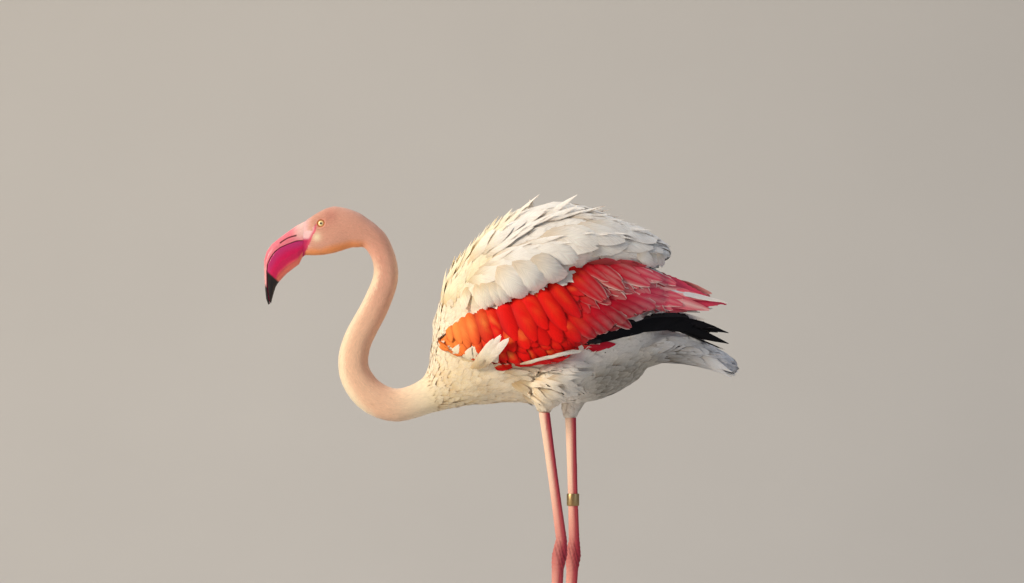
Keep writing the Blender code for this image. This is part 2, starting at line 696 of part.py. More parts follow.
def build_web_and_toes(name, base, leg, skin):
    """The three front toes and their webs as one closed plate with three ridges."""
    rows = with_webs(foot_rows(base, leg), base)
    wide = len(TOE_PROFILE)
    webs = {wide - 1, wide, 2 * wide, 2 * wide + 1}
    bm = bmesh.new()
    tops, soles = [], []
    for k, row in enumerate(rows):
        tops.append([bm.verts.new(p) for p, _ in row])
        soles.append([bm.verts.new((p.x, p.y, sole)) for p, sole in row])
    for r in range(len(rows) - 1):
        for c in range(len(rows[0]) - 1):
            if r == len(rows) - 2 and c in webs:
                continue
            bm.faces.new((tops[r][c], tops[r][c + 1], tops[r + 1][c + 1], tops[r + 1][c]))
            bm.faces.new((soles[r][c], soles[r + 1][c], soles[r + 1][c + 1], soles[r][c + 1]))
    loose = [v for v in bm.verts if not v.link_faces]
    bmesh.ops.delete(bm, geom=loose, context="VERTS")
    below = {}
    for top_row, sole_row in zip(tops, soles):
        for top, sole in zip(top_row, sole_row):
            if top.is_valid:
                below[top] = sole
    rim = [e for e in bm.edges if e.is_boundary and e.verts[0] in below]
    for edge in rim:
        a, b = edge.verts
        bm.faces.new((a, b, below[b], below[a]))
    bmesh.ops.recalc_face_normals(bm, faces=bm.faces)
    mesh = bpy.data.meshes.new(name)
    bm.to_mesh(mesh)
    bm.free()
    return placed(name, mesh, skin)


def build_foot(side_name, leg, skin, horn):
    """Three webbed toes, a small hind toe, and a claw on each."""
    base = Vector((leg["ankle"][0], leg["side"] * LEG_Y, 0))
    foot = build_web_and_toes(f"foot_{side_name}", base, leg, skin)
    hub_rings = [
        oval(base + Vector((0, 0, z)), Vector((1, 0, 0)), Vector((0, 1, 0)), a, b, LIMB_POINTS)
        for a, b, z in HUB_RINGS
    ]
    hub = loft("hub", hub_rings, skin)
    behind = -heading(leg, HIND_TOE_ANGLE)
    rings = [toe_ring(base, behind, *row) for row in HALLUX_RINGS]
    joined(foot, hub, loft("hallux", rings, skin))
    for toe, angle in TOE_ANGLES.items():
        ahead, start = heading(leg, angle), TOE_LENGTHS[toe] + GAP
        rings = [toe_ring(base, ahead, start + CLAW_LENGTH * s, w, h) for s, w, h in CLAW_RINGS]
        loft(f"claw_{side_name}_{toe}", rings, horn)
    start = HALLUX_RINGS[-1][0] + GAP
    rings = [toe_ring(base, behind, start + s, w, h, low) for s, w, h, low in HIND_CLAW_RINGS]
    loft(f"claw_{side_name}_hind", rings, horn)


def build_leg(side_name, leg, white, skin, horn, trunk, coverts):
    """One leg from feathered thigh to claws."""
    y = leg["side"] * LEG_Y
    hock_top, hock_foot = leg["hock_top"], leg["hock_foot"]
    limb(f"tibia_{side_name}", below(leg["knee"]), hock_top, y, TIBIA_HALVES, skin)
    limb(f"hock_{side_name}", below(hock_top), hock_foot, y, HOCK_HALVES, skin)
    limb(f"tarsus_{side_name}", below(hock_foot), below(leg["ankle"], -GAP), y, TARSUS_HALVES, skin)
    build_foot(side_name, leg, skin, horn)
    build_thigh(f"thigh_{side_name}", leg, white, trunk, coverts)


def build_ring(material):
    """The plain identity ring round the right tibia."""
    leg = LEGS["right"]
    knee, low = leg["knee"], leg["hock_top"]
    share = (knee[1] - RING_BOTTOM - RING_HEIGHT / 2) / (knee[1] - low[1])
    x = knee[0] + (low[0] - knee[0]) * share
    bore = [half + GAP + RING_SLACK for half in TIBIA_HALVES[3]]
    bm = bmesh.new()
    rows = []
    for level, wall in ((0, RING_WALL), (RING_HEIGHT, RING_WALL), (RING_HEIGHT, 0), (0, 0)):
        centre = (x, leg["side"] * LEG_Y, RING_BOTTOM + level)
        ends = Vector((1, 0, 0)), Vector((0, 1, 0)), bore[0] + wall, bore[1] + wall
        rows.append([bm.verts.new(p) for p in oval(centre, *ends, RING_POINTS)])
    for one, two in zip(rows, rows[1:] + rows[:1]):
        for k in range(RING_POINTS):
            n = (k + 1) % RING_POINTS
            bm.faces.new((one[k], one[n], two[n], two[k]))
    bmesh.ops.recalc_face_normals(bm, faces=bm.faces)
    face_out(bm)
    mesh = bpy.data.meshes.new("leg_ring")
    bm.to_mesh(mesh)
    bm.free()
    return placed("leg_ring", mesh, material)


def main():
    """Builds the bird."""
    for old in list(bpy.data.objects):
        bpy.data.objects.remove(old)
    white = principled("white_feather", (0.86, 0.78, 0.68), 0.75)
    blush = principled("blush_feather", (0.80, 0.55, 0.45), 0.75)
    red = principled("red_feather", (0.80, 0.05, 0.03), 0.65)
    pink = principled("pink_feather", (0.78, 0.30, 0.33), 0.70)
    black = principled("black_feather", (0.012, 0.012, 0.018), 0.50)
    horn = principled("pink_horn", (0.80, 0.38, 0.42), 0.35)
    deep_horn = principled("magenta_horn", (0.70, 0.05, 0.22), 0.35)
    claw = principled("claw_horn", (0.03, 0.02, 0.02), 0.40)
    skin = principled("leg_skin", (0.75, 0.22, 0.22), 0.45)
    iris = principled("iris", (0.85, 0.62, 0.20), 0.10)
    ring = principled("ring_metal", (0.72, 0.70, 0.64), 0.35, metallic=1.0)

    body = build_body(white)
    for name, solid in body.items():
        if name != "trunk":
            solid.data.materials[0] = blush
    trunk = body["trunk"]
    build_bill(horn, deep_horn, body["head"])
    build_eyes(iris, body["head"])
    near_coverts, far_coverts = build_coat(white, red, pink, black, trunk)
    build_leg("left", LEGS["left"], white, skin, claw, trunk, near_coverts)
    build_leg("right", LEGS["right"], white, skin, claw, trunk, far_coverts)
    build_ring(ring)


main()
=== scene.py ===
"""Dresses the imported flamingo: one skin, its coat of feathers, bill, eyes, bare legs and leg ring."""

from __future__ import annotations

import logging
import math
from collections.abc import Callable, Sequence
from dataclasses import dataclass, field, replace
from enum import Enum

import bmesh
import bpy
import numpy as np
from bpy.types import ID, Material, Mesh, Node, NodeSocket, NodeTree, Object
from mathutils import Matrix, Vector
from mathutils.bvhtree import BVHTree


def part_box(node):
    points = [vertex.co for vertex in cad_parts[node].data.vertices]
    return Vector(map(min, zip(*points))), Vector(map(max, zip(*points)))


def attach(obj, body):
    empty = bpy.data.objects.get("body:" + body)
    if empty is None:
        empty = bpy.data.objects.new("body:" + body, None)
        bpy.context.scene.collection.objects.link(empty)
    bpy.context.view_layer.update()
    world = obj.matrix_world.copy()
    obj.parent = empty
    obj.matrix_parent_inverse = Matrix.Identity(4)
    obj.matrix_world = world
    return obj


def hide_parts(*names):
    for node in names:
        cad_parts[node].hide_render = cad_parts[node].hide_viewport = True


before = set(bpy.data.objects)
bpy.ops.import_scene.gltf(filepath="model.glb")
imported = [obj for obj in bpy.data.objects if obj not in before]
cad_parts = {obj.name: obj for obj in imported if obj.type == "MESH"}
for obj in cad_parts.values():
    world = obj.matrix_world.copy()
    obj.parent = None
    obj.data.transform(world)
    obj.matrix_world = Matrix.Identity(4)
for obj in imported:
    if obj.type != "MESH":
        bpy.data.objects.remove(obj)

Array = np.ndarray
LOG = logging.getLogger("flamingo")
SIDES = {"left": -1.0, "right": 1.0}

# The maps and fields that meshes carry, and the size of a feather's patch on the bake map.
BAKE_MAP = "OFBake"
VANE_MAP = "Vane"
TINT = "Coat"
BARE = "Bare"
BAKE_PATCH = 0.003

# How steep an edge the unwraps cut at, and the gap between their islands.
UNWRAP_ANGLE = math.radians(66)
UNWRAP_MARGIN = 0.004


def linear(red: float, green: float, blue: float) -> Array:
    """Turns a display colour of 0 to 255 into a linear one."""
    part = np.array((red, green, blue)) / 255.0
    return np.where(part <= 0.04045, part / 12.92, ((part + 0.055) / 1.055) ** 2.4)


def unit(vectors: Array) -> Array:
    """Scales each row to length one."""
    return vectors / np.maximum(np.linalg.norm(vectors, axis=-1, keepdims=True), 1e-12)


def ramp(low: float, high: float, values: Array) -> Array:
    """A smooth step from 0 at low to 1 at high."""
    share = np.clip((values - low) / (high - low), 0.0, 1.0)
    return share * share * (3.0 - 2.0 * share)


def blend(first: Array, second: Array, share: Array) -> Array:
    """Mixes two colours, or rows of them, by a share for each row."""
    return first + (second - first) * np.asarray(share)[..., None]


def wander(points: Array, size: float, seed: float = 0.0) -> Array:
    """A smooth wandering value of about -1 to 1 over space.

    Args:
        points: Places, one to a row.
        size: The distance over which the value changes.
        seed: Picks another pattern.

    Returns:
        One value for each place.
    """
    total = np.zeros(points.shape[:-1])
    for k in range(1, 6):
        way = (math.sin(k * 12.9 + seed), math.sin(k * 78.2 + seed * 2), math.cos(k * 37.7 + seed))
        total += np.sin(points @ np.array(way) * (2.2 / size) * (0.6 + 0.25 * k) + k * 2.4 + seed * 5.1)
    return total / 2.6


# ---- finishes


@dataclass(frozen=True)
class Finish:
    """A surface: its shader constants and the fine pattern in its colour and height.

    Attributes:
        name: The material's name.
        colour: The flat colour, or None where the piece has its own tints.
        roughness: How matt it is.
        specular: The shader's specular level.
        sheen: The strength of the soft edge light of fine fibres.
        subsurface: How much light passes into it.
        coat: The strength of a clear gloss over it.
        metallic: One for bare metal.
        mottle: How much the colour wanders.
        grain: The pattern's cycles to a metre.
        relief: The bump's height in metres.
        barbs: How strongly a vane's barbs show, or zero for none.
        slant: How steeply the barbs run along the vane.
        scales: The scales to a metre, or zero for none.
    """

    name: str
    colour: tuple[float, float, float] | None = None
    roughness: float = 0.7
    specular: float = 0.3
    sheen: float = 0.0
    subsurface: float = 0.0
    coat: float = 0.0
    metallic: float = 0.0
    mottle: float = 0.12
    grain: float = 900.0
    relief: float = 0.0002
    barbs: float = 0.0
    slant: float = 2.0
    scales: float = 0.0

    def material(self) -> Material:
        """Builds the material, or finds it if it is built already.

        Returns:
            The material.
        """
        made = bpy.data.materials.get(self.name)
        if made:
            return made
        made = bpy.data.materials.new(self.name)
        made.use_nodes = True
        tree = made.node_tree
        build = Wiring(tree)
        shader = tree.nodes["Principled BSDF"]
        build.preset(shader, {
            "Specular IOR Level": self.specular,
            "Sheen Weight": self.sheen,
            "Sheen Roughness": 0.5,
            "Subsurface Weight": self.subsurface,
            "Subsurface Radius": (1.0, 0.45, 0.3),
            "Subsurface Scale": 0.004,
            "Coat Weight": self.coat,
            "Coat Roughness": 0.12,
            "Metallic": self.metallic,
        })
        weathering = build.node("ShaderNodeGroup")
        weathering.node_tree = fine_pattern()
        build.preset(weathering, {
            "Barbs": self.barbs,
            "Slant": -self.slant,
            "Scales": self.scales,
            "Grain": self.grain,
            "Mottle": self.mottle,
            "Roughness": self.roughness,
        })
        if self.colour is None:
            build.link(build.attribute(TINT, "Color"), weathering.inputs["Colour"])
        else:
            weathering.inputs["Colour"].default_value = (*self.colour, 1.0)
        if self.scales:
            build.link(build.attribute(BARE, "Fac"), weathering.inputs["Bare"])
        bump = build.node("ShaderNodeBump", {"Distance": self.relief, "Strength": 0.8})
        build.link(weathering.outputs["Colour"], shader.inputs["Base Color"])
        build.link(weathering.outputs["Roughness"], shader.inputs["Roughness"])
        build.link(weathering.outputs["Height"], bump.inputs["Height"])
        build.link(bump.outputs["Normal"], shader.inputs["Normal"])
        return made


@dataclass(frozen=True)
class Pattern:
    """How the fine pattern weighs what it is made of.

    Attributes:
        barb_rate: Barbs to a centimetre along the vane.
        barb_stretch: How fast they change across it.
        plate: How sharply a scale's edge falls.
        contrast: How strongly the pattern shows in the colour.
        crease: How dark the creases between scales are.
        barb_relief: How far barbs stand out against the grain.
    """

    barb_rate: float = 7.0
    barb_stretch: float = 1.2
    plate: float = 6.0
    contrast: float = 3.0
    crease: float = 0.06
    barb_relief: float = 4.0


def fine_pattern() -> NodeTree:
    """Builds the group that mottles a colour and roughness and gives a fine height, once.

    Returns:
        The group.
    """
    name = "fine_pattern"
    group = bpy.data.node_groups.get(name)
    if group:
        return group
    group = bpy.data.node_groups.new(name, "ShaderNodeTree")
    numbers = {
        "INPUT": ("Roughness", "Grain", "Mottle", "Barbs", "Slant", "Scales", "Bare"),
        "OUTPUT": ("Roughness", "Height"),
    }
    for way, labels in numbers.items():
        group.interface.new_socket(name="Colour", in_out=way, socket_type="NodeSocketColor")
        for label in labels:
            group.interface.new_socket(name=label, in_out=way, socket_type="NodeSocketFloat")
    weigh = Pattern()
    build = Wiring(group)
    given = build.node("NodeGroupInput").outputs
    put = build.node("NodeGroupOutput").inputs
    place = build.node("ShaderNodeTexCoord").outputs["Object"]
    fine = build.node("ShaderNodeTexNoise", {"Detail": 3.0})
    build.link(place, fine.inputs["Vector"])
    build.link(given["Grain"], fine.inputs["Scale"])
    swing = build.sums("SUBTRACT", fine.outputs["Fac"], 0.5)

    vane = build.node("ShaderNodeUVMap")
    vane.uv_map = VANE_MAP
    parts = build.node("ShaderNodeSeparateXYZ")
    build.link(vane.outputs["UV"], parts.inputs[0])
    off = build.sums("ABSOLUTE", parts.outputs["X"], 0.0)
    slanted = build.sums("MULTIPLY_ADD", off, given["Slant"], parts.outputs["Y"])
    lines = build.node("ShaderNodeCombineXYZ")
    build.link(build.sums("MULTIPLY", slanted, weigh.barb_rate), lines.inputs["X"])
    build.link(build.sums("MULTIPLY", off, weigh.barb_stretch), lines.inputs["Y"])
    barbs = build.node("ShaderNodeTexNoise", {"Scale": 1.0, "Detail": 2.0})
    build.link(lines.outputs[0], barbs.inputs["Vector"])
    barb_swing = build.sums("MULTIPLY", build.sums("SUBTRACT", barbs.outputs["Fac"], 0.5), given["Barbs"])

    plates = build.node("ShaderNodeTexVoronoi")
    plates.feature = "DISTANCE_TO_EDGE"
    build.link(place, plates.inputs["Vector"])
    build.link(given["Scales"], plates.inputs["Scale"])
    edge = build.sums("MINIMUM", build.sums("MULTIPLY", plates.outputs["Distance"], weigh.plate), 1.0)
    scaled = build.sums("MINIMUM", given["Scales"], given["Bare"])
    crease = build.sums("MULTIPLY", build.sums("SUBTRACT", edge, 1.0), scaled)

    tone = build.sums("MULTIPLY_ADD", swing, given["Mottle"], barb_swing)
    gain = build.sums("MULTIPLY_ADD", tone, weigh.contrast, 1.0)
    gain = build.sums("MULTIPLY_ADD", crease, weigh.crease, gain)
    colour = build.node("ShaderNodeVectorMath")
    colour.operation = "SCALE"
    build.link(given["Colour"], colour.inputs[0])
    build.link(gain, colour.inputs["Scale"])
    build.link(colour.outputs["Vector"], put["Colour"])
    build.link(build.sums("ADD", given["Roughness"], tone), put["Roughness"])
    height = build.sums("MULTIPLY_ADD", barb_swing, weigh.barb_relief, fine.outputs["Fac"])
    build.link(build.sums("ADD", height, crease), put["Height"])
    return group


class Wiring:
    """Adds nodes to a node tree, sets them and links them."""

    def __init__(self, tree: NodeTree) -> None:
        """Keeps the tree."""
        self.tree = tree

    def preset(self, node: Node, values: dict[str, float | tuple[float, ...]]) -> None:
        """Sets a node's inputs by their names."""
        for label, value in values.items():
            node.inputs[label].default_value = value

    def node(self, kind: str, values: dict[str, float | tuple[float, ...]] | None = None) -> Node:
        """Adds a node.

        Args:
            kind: Its type.
            values: What its inputs are set to, by their names.

        Returns:
            The node.
        """
        made = self.tree.nodes.new(kind)
        self.preset(made, values or {})
        return made

    def attribute(self, name: str, output: str) -> NodeSocket:
        """One output of a node that reads a mesh's own field."""
        made = self.node("ShaderNodeAttribute")
        made.attribute_name = name
        return made.outputs[output]

    def link(self, source: NodeSocket, target: NodeSocket) -> None:
        """Links two sockets."""
        self.tree.links.new(source, target)

    def sums(self, operation: str, *values: NodeSocket | float) -> NodeSocket:
        """One maths node.

        Args:
            operation: What it does.
            values: Its inputs, each a socket or a number.

        Returns:
            Its output.
        """
        node = self.node("ShaderNodeMath")
        node.operation = operation
        for socket, value in zip(node.inputs, values):
            if isinstance(value, (int, float)):
                socket.default_value = value
            else:
                self.link(value, socket)
        return node.outputs[0]


# ---- meshes


def new_object(name: str, data: ID) -> Object:
    """Puts a mesh, lamp or lens in the scene as an object."""
    made = bpy.data.objects.new(name, data)
    bpy.context.scene.collection.objects.link(made)
    return made


def wear(piece: Object, finish: Finish, slot: str, *nodes: str) -> None:
    """Gives a piece its finish and its place in the part.

    Args:
        piece: The piece, which rides on the one body.
        finish: Its finish.
        slot: A slot name; not used.
        nodes: The CAD nodes that it stands for.
    """
    piece.data.materials.clear()
    piece.data.materials.append(finish.material())
    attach(piece, "root")
    if nodes:
        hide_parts(*nodes)


def pick(piece: Object, *others: Object) -> None:
    """Selects some objects and nothing else.

    Args:
        piece: The object that becomes the active one.
        others: More objects.
    """
    bpy.ops.object.select_all(action="DESELECT")
    for one in (*others, piece):
        one.select_set(True)
    bpy.context.view_layer.objects.active = piece


def unwrap_all(piece: Object) -> None:
    """Unwraps a whole mesh onto its bake map.

    Args:
        piece: The object with the mesh.
    """
    pick(piece)
    bpy.ops.object.mode_set(mode="EDIT")
    bpy.ops.mesh.select_all(action="SELECT")
    bpy.ops.uv.smart_project(angle_limit=UNWRAP_ANGLE, island_margin=UNWRAP_MARGIN)
    bpy.ops.object.mode_set(mode="OBJECT")
    piece.data.uv_layers.active.name = BAKE_MAP


def set_tints(mesh: Mesh, colours: Array) -> None:
    """Stores a linear colour for each of a mesh's points."""
    layer = mesh.color_attributes.new(TINT, "FLOAT_COLOR", "POINT")
    rows = np.ones((len(colours), 4), np.float32)
    rows[:, :3] = np.clip(colours, 0.0, 1.0)
    layer.data.foreach_set("color", rows.ravel())


def points_of(mesh: Mesh) -> Array:
    """Reads a mesh's points, one to a row."""
    flat = np.empty(len(mesh.vertices) * 3, np.float32)
    mesh.vertices.foreach_get("co", flat)
    return flat.reshape(-1, 3).astype(float)


def set_points(mesh: Mesh, points: Array) -> None:
    """Moves a mesh's points."""
    mesh.vertices.foreach_set("co", points.astype(np.float32).ravel())
    mesh.update()


def add_field(mesh: Mesh, label: str, values: Array) -> None:
    """Stores a number for each point of a mesh under a name."""
    mesh.attributes.new(label, "FLOAT", "POINT").data.foreach_set("value", values.astype(np.float32))


def take_field(mesh: Mesh, label: str) -> Array:
    """Takes a field out of a mesh: its number for each point."""
    values = np.empty(len(mesh.vertices), np.float32)
    mesh.attributes[label].data.foreach_get("value", values)
    mesh.attributes.remove(mesh.attributes[label])
    return values


def merged_copy(name: str, nodes: list[str], grow: float) -> Object:
    """Joins copies of CAD nodes into one object.

    Args:
        name: The new object's name.
        nodes: The CAD nodes to copy.
        grow: How far each copy's surface moves out, so that neighbours overlap.

    Returns:
        The new object.
    """
    whole = bmesh.new()
    for node in nodes:
        part = bmesh.new()
        part.from_mesh(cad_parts[node].data)
        bmesh.ops.remove_doubles(part, verts=part.verts, dist=0.00001)
        part.normal_update()
        for vert in part.verts:
            vert.co += vert.normal * grow
        mesh = bpy.data.meshes.new(node)
        part.to_mesh(mesh)
        part.free()
        whole.from_mesh(mesh)
        bpy.data.meshes.remove(mesh)
    mesh = bpy.data.meshes.new(name)
    whole.to_mesh(mesh)
    whole.free()
    return new_object(name, mesh)


def remeshed(piece: Object, voxel: float) -> None:
    """Gives an object one even closed surface.

    Args:
        piece: The object.
        voxel: The size of the surface's squares.
    """
    pick(piece)
    modifier = piece.modifiers.new("even", "REMESH")
    modifier.mode = "VOXEL"
    modifier.voxel_size = voxel
    bpy.ops.object.modifier_apply(modifier=modifier.name)


def rounded(piece: Object, voxel: float, rounds: int) -> Surface:
    """Remeshes an object and rubs its edges down.

    Args:
        piece: The object, which the caller gives the surface's points again.
        voxel: The size of its new squares.
        rounds: How often it is rubbed.

    Returns:
        Its new surface.
    """
    remeshed(piece, voxel)
    shape = Surface(piece.data)
    shape.smooth(rounds)
    return shape


def keep_largest(piece: Object) -> None:
    """Drops every loose part of a mesh but the largest.

    Args:
        piece: The object with the mesh.
    """
    shape = bmesh.new()
    shape.from_mesh(piece.data)
    left, largest = set(shape.verts), set()
    while left:
        part, edge = set(), {left.pop()}
        while edge:
            part |= edge
            edge = {other for vert in edge for link in vert.link_edges for other in link.verts} - part
        left -= part
        largest = max(largest, part, key=len)
    bmesh.ops.delete(shape, geom=[vert for vert in shape.verts if vert not in largest], context="VERTS")
    shape.to_mesh(piece.data)
    shape.free()


class Surface:
    """A closed mesh as arrays, with what feathers need to know at each of its points."""

    PULL = 0.6
    RUB = (0.5, -0.53)

    def __init__(self, mesh: Mesh) -> None:
        """Reads a mesh.

        Args:
            mesh: The mesh, whose faces have three or four corners.
        """
        self.points = points_of(mesh)
        starts = np.empty(len(mesh.polygons), np.int32)
        totals = np.empty(len(mesh.polygons), np.int32)
        corners = np.empty(len(mesh.loops), np.int32)
        mesh.polygons.foreach_get("loop_start", starts)
        mesh.polygons.foreach_get("loop_total", totals)
        mesh.loops.foreach_get("vertex_index", corners)
        steps = np.minimum(np.arange(4)[None, :], totals[:, None] - 1)
        self.loops = starts[:, None] + steps
        self.faces = corners[self.loops]
        pairs = np.empty(len(mesh.edges) * 2, np.int32)
        mesh.edges.foreach_get("vertices", pairs)
        pairs = pairs.reshape(-1, 2)
        self.tails = np.concatenate((pairs[:, 0], pairs[:, 1]))
        self.heads = np.concatenate((pairs[:, 1], pairs[:, 0]))
        self.degree = np.bincount(self.tails, minlength=len(self.points)).astype(float)
        self.update()
        self.lie = np.zeros_like(self.points)

    def update(self) -> None:
        """Works out the normals and the search tree again."""
        a, b, c, d = (self.points[self.faces[:, k]] for k in range(4))
        face_normals = np.cross(c - a, d - b)
        flat = np.linalg.norm(face_normals, axis=1) < 1e-14
        face_normals[flat] = np.cross(b - a, c - a)[flat]
        total = np.zeros_like(self.points)
        for k in range(4):
            for axis in range(3):
                total[:, axis] += np.bincount(
                    self.faces[:, k], face_normals[:, axis], minlength=len(self.points)
                )
        self.normals = unit(total)
        self.areas = np.linalg.norm(face_normals, axis=1) / 2
        self.tree = BVHTree.FromPolygons(self.points.tolist(), self.faces.tolist())

    def gathered(self, values: Array) -> Array:
        """Adds up a field over neighbours.

        Args:
            values: A value, or a row of them, for each point.

        Returns:
            The sum over each point's neighbours.
        """
        if values.ndim == 1:
            return np.bincount(self.tails, values[self.heads], minlength=len(self.points))
        columns = [
            np.bincount(self.tails, values[self.heads, k], minlength=len(self.points))
            for k in range(values.shape[1])
        ]
        return np.stack(columns, axis=1)

    def relaxed(self, values: Array, rounds: int) -> Array:
        """Smooths a field over the surface.

        Args:
            values: A value, or a row of them, for each point.
            rounds: How often it is smoothed.

        Returns:
            The smoothed field.
        """
        weight = self.degree if values.ndim == 1 else self.degree[:, None]
        for _ in range(rounds):
            values = values * (1.0 - self.PULL) + self.gathered(values) / weight * self.PULL
        return values

    def smooth(self, rounds: int) -> None:
        """Rubs small steps off the surface without shrinking it.

        Args:
            rounds: How often it is rubbed.
        """
        for _ in range(rounds):
            for push in self.RUB:
                pull = self.gathered(self.points) / self.degree[:, None] - self.points
                self.points = self.points + pull * push
        self.update()

    def melt(self, share: Array, rounds: int) -> None:
        """Lets thin spikes sink into the body.

        Args:
            share: How far each point gives way, 0 to 1.
            rounds: How often it does.
        """
        for _ in range(rounds):
            pull = self.gathered(self.points) / self.degree[:, None] - self.points
            self.points = self.points + pull * self.PULL * share[:, None]

    def thin(self, share: Array, least: float) -> Array:
        """Finds where the shape is thin.

        Args:
            share: How far each point is asked about; under a tenth it is not.
            least: The thickness that is enough.

        Returns:
            One at each point with less behind it, else zero.
        """
        found = np.zeros(len(self.points))
        for index in np.flatnonzero(share > 0.1).tolist():
            inward = Vector(-self.normals[index])
            start = Vector(self.points[index]) + inward * (least * 0.1)
            found[index] = self.tree.ray_cast(start, inward, least)[0] is not None
        return found

    def steady_flow(self, held: Array, values: Array, rounds: int = 500) -> Array:
        """Solves for the even field that keeps its values at the held points.

        Args:
            held: True at each point whose value is kept.
            values: The values there.
            rounds: The most steps to take.

        Returns:
            One value for each point.
        """
        free = ~held
        answer = np.zeros(len(self.points))
        left = np.where(free, self.gathered(np.where(held, values, 0.0)), 0.0)
        way = left.copy()
        power = left @ left
        for _ in range(rounds):
            pushed = np.where(free, self.degree * way - self.gathered(way), 0.0)
            step = power / (way @ pushed)
            answer += way * step
            left -= pushed * step
            following = left @ left
            if following < power * 1e-12 or following < 1e-16:
                break
            way = left + way * (following / power)
            power = following
        return np.where(held, values, answer)

    def uphill(self, values: Array) -> Array:
        """Finds the slope of a field.

        Args:
            values: A value for each point.

        Returns:
            The direction along the surface in which it grows fastest, at each point.
        """
        reach = self.points[self.heads] - self.points[self.tails]
        rise = (values[self.heads] - values[self.tails]) / np.maximum((reach**2).sum(1), 1e-12)
        total = np.stack(
            [np.bincount(self.tails, reach[:, k] * rise, minlength=len(self.points)) for k in range(3)],
            axis=1,
        )
        return self.along(total)

    def along(self, vectors: Array) -> Array:
        """Lays vectors down on the surface and makes them one long."""
        lean = (vectors * self.normals).sum(1, keepdims=True)
        return unit(vectors - self.normals * lean)

    def snap(self, places: Array) -> tuple[Array, Array]:
        """Finds the surface's nearest point to each place, and the face that it lies on."""
        found = [self.tree.find_nearest(place) for place in places.tolist()]
        spots = np.array([tuple(hit[0]) for hit in found])
        return spots, np.array([hit[2] for hit in found])

    def at(self, values: Array, hits: Array, spots: Array) -> Array:
        """Reads a field between its points.

        Args:
            values: A value, or a row of them, for each point.
            hits: The face under each spot.
            spots: Places on those faces.

        Returns:
            The field there, from the faces' corners by nearness.
        """
        corners = self.faces[hits]
        gaps = np.linalg.norm(self.points[corners] - spots[:, None, :], axis=2)
        weights = 1.0 / np.maximum(gaps, 1e-5)
        weights /= weights.sum(1, keepdims=True)
        if values.ndim == 1:
            return (values[corners] * weights).sum(1)
        return (values[corners] * weights[..., None]).sum(1)


# ---- feathers


@dataclass
class Track:
    """The middle lines of feathers over a surface.

    Attributes:
        paths: Places along each line, (feathers, stations, 3).
        outs: The surface's direction out there.
        ways: The line's own direction there.
        shares: How far along each station lies, 0 to 1.
        faces: The surface's face under each root.
    """

    paths: Array
    outs: Array
    ways: Array
    shares: Array
    faces: Array


@dataclass(frozen=True)
class Cut:
    """How one kind of feather is cut.

    Attributes:
        half: Half its width, in metres.
        length: From root to tip.
        depth: How far in the root lies.
        lift: How far the tip stands out.
        cup: How far the middle stands over the edges, as a share of the half width.
        thickness: Of the vane at its shaft.
        columns: Points across its upper face.
        stations: Points along it.
        blunt: The tip's bluntness, from 0.4 for round to 1.2 for pointed.
        fray: How unevenly the barbs end, in metres.
        ruffle: How unevenly feathers point, as an angle.
        shade: How much the tone differs between feathers.
        soft: How far the shading follows the body underneath, 0 to 1.
        free: The share along from which the feather leaves the body.
        end: The width left at the very tip, as a share.
        ridge: How far a feather of a row turns to lie along the top of the back, 0 to 1.
    """

    half: float
    length: float
    depth: float = 0.004
    lift: float = 0.001
    cup: float = 0.35
    thickness: float = 0.0006
    columns: int = 3
    stations: int = 5
    blunt: float = 0.55
    fray: float = 0.0
    ruffle: float = 0.12
    shade: float = 0.05
    soft: float = 0.5
    free: float = 1.0
    end: float = 0.24
    ridge: float = 0.0


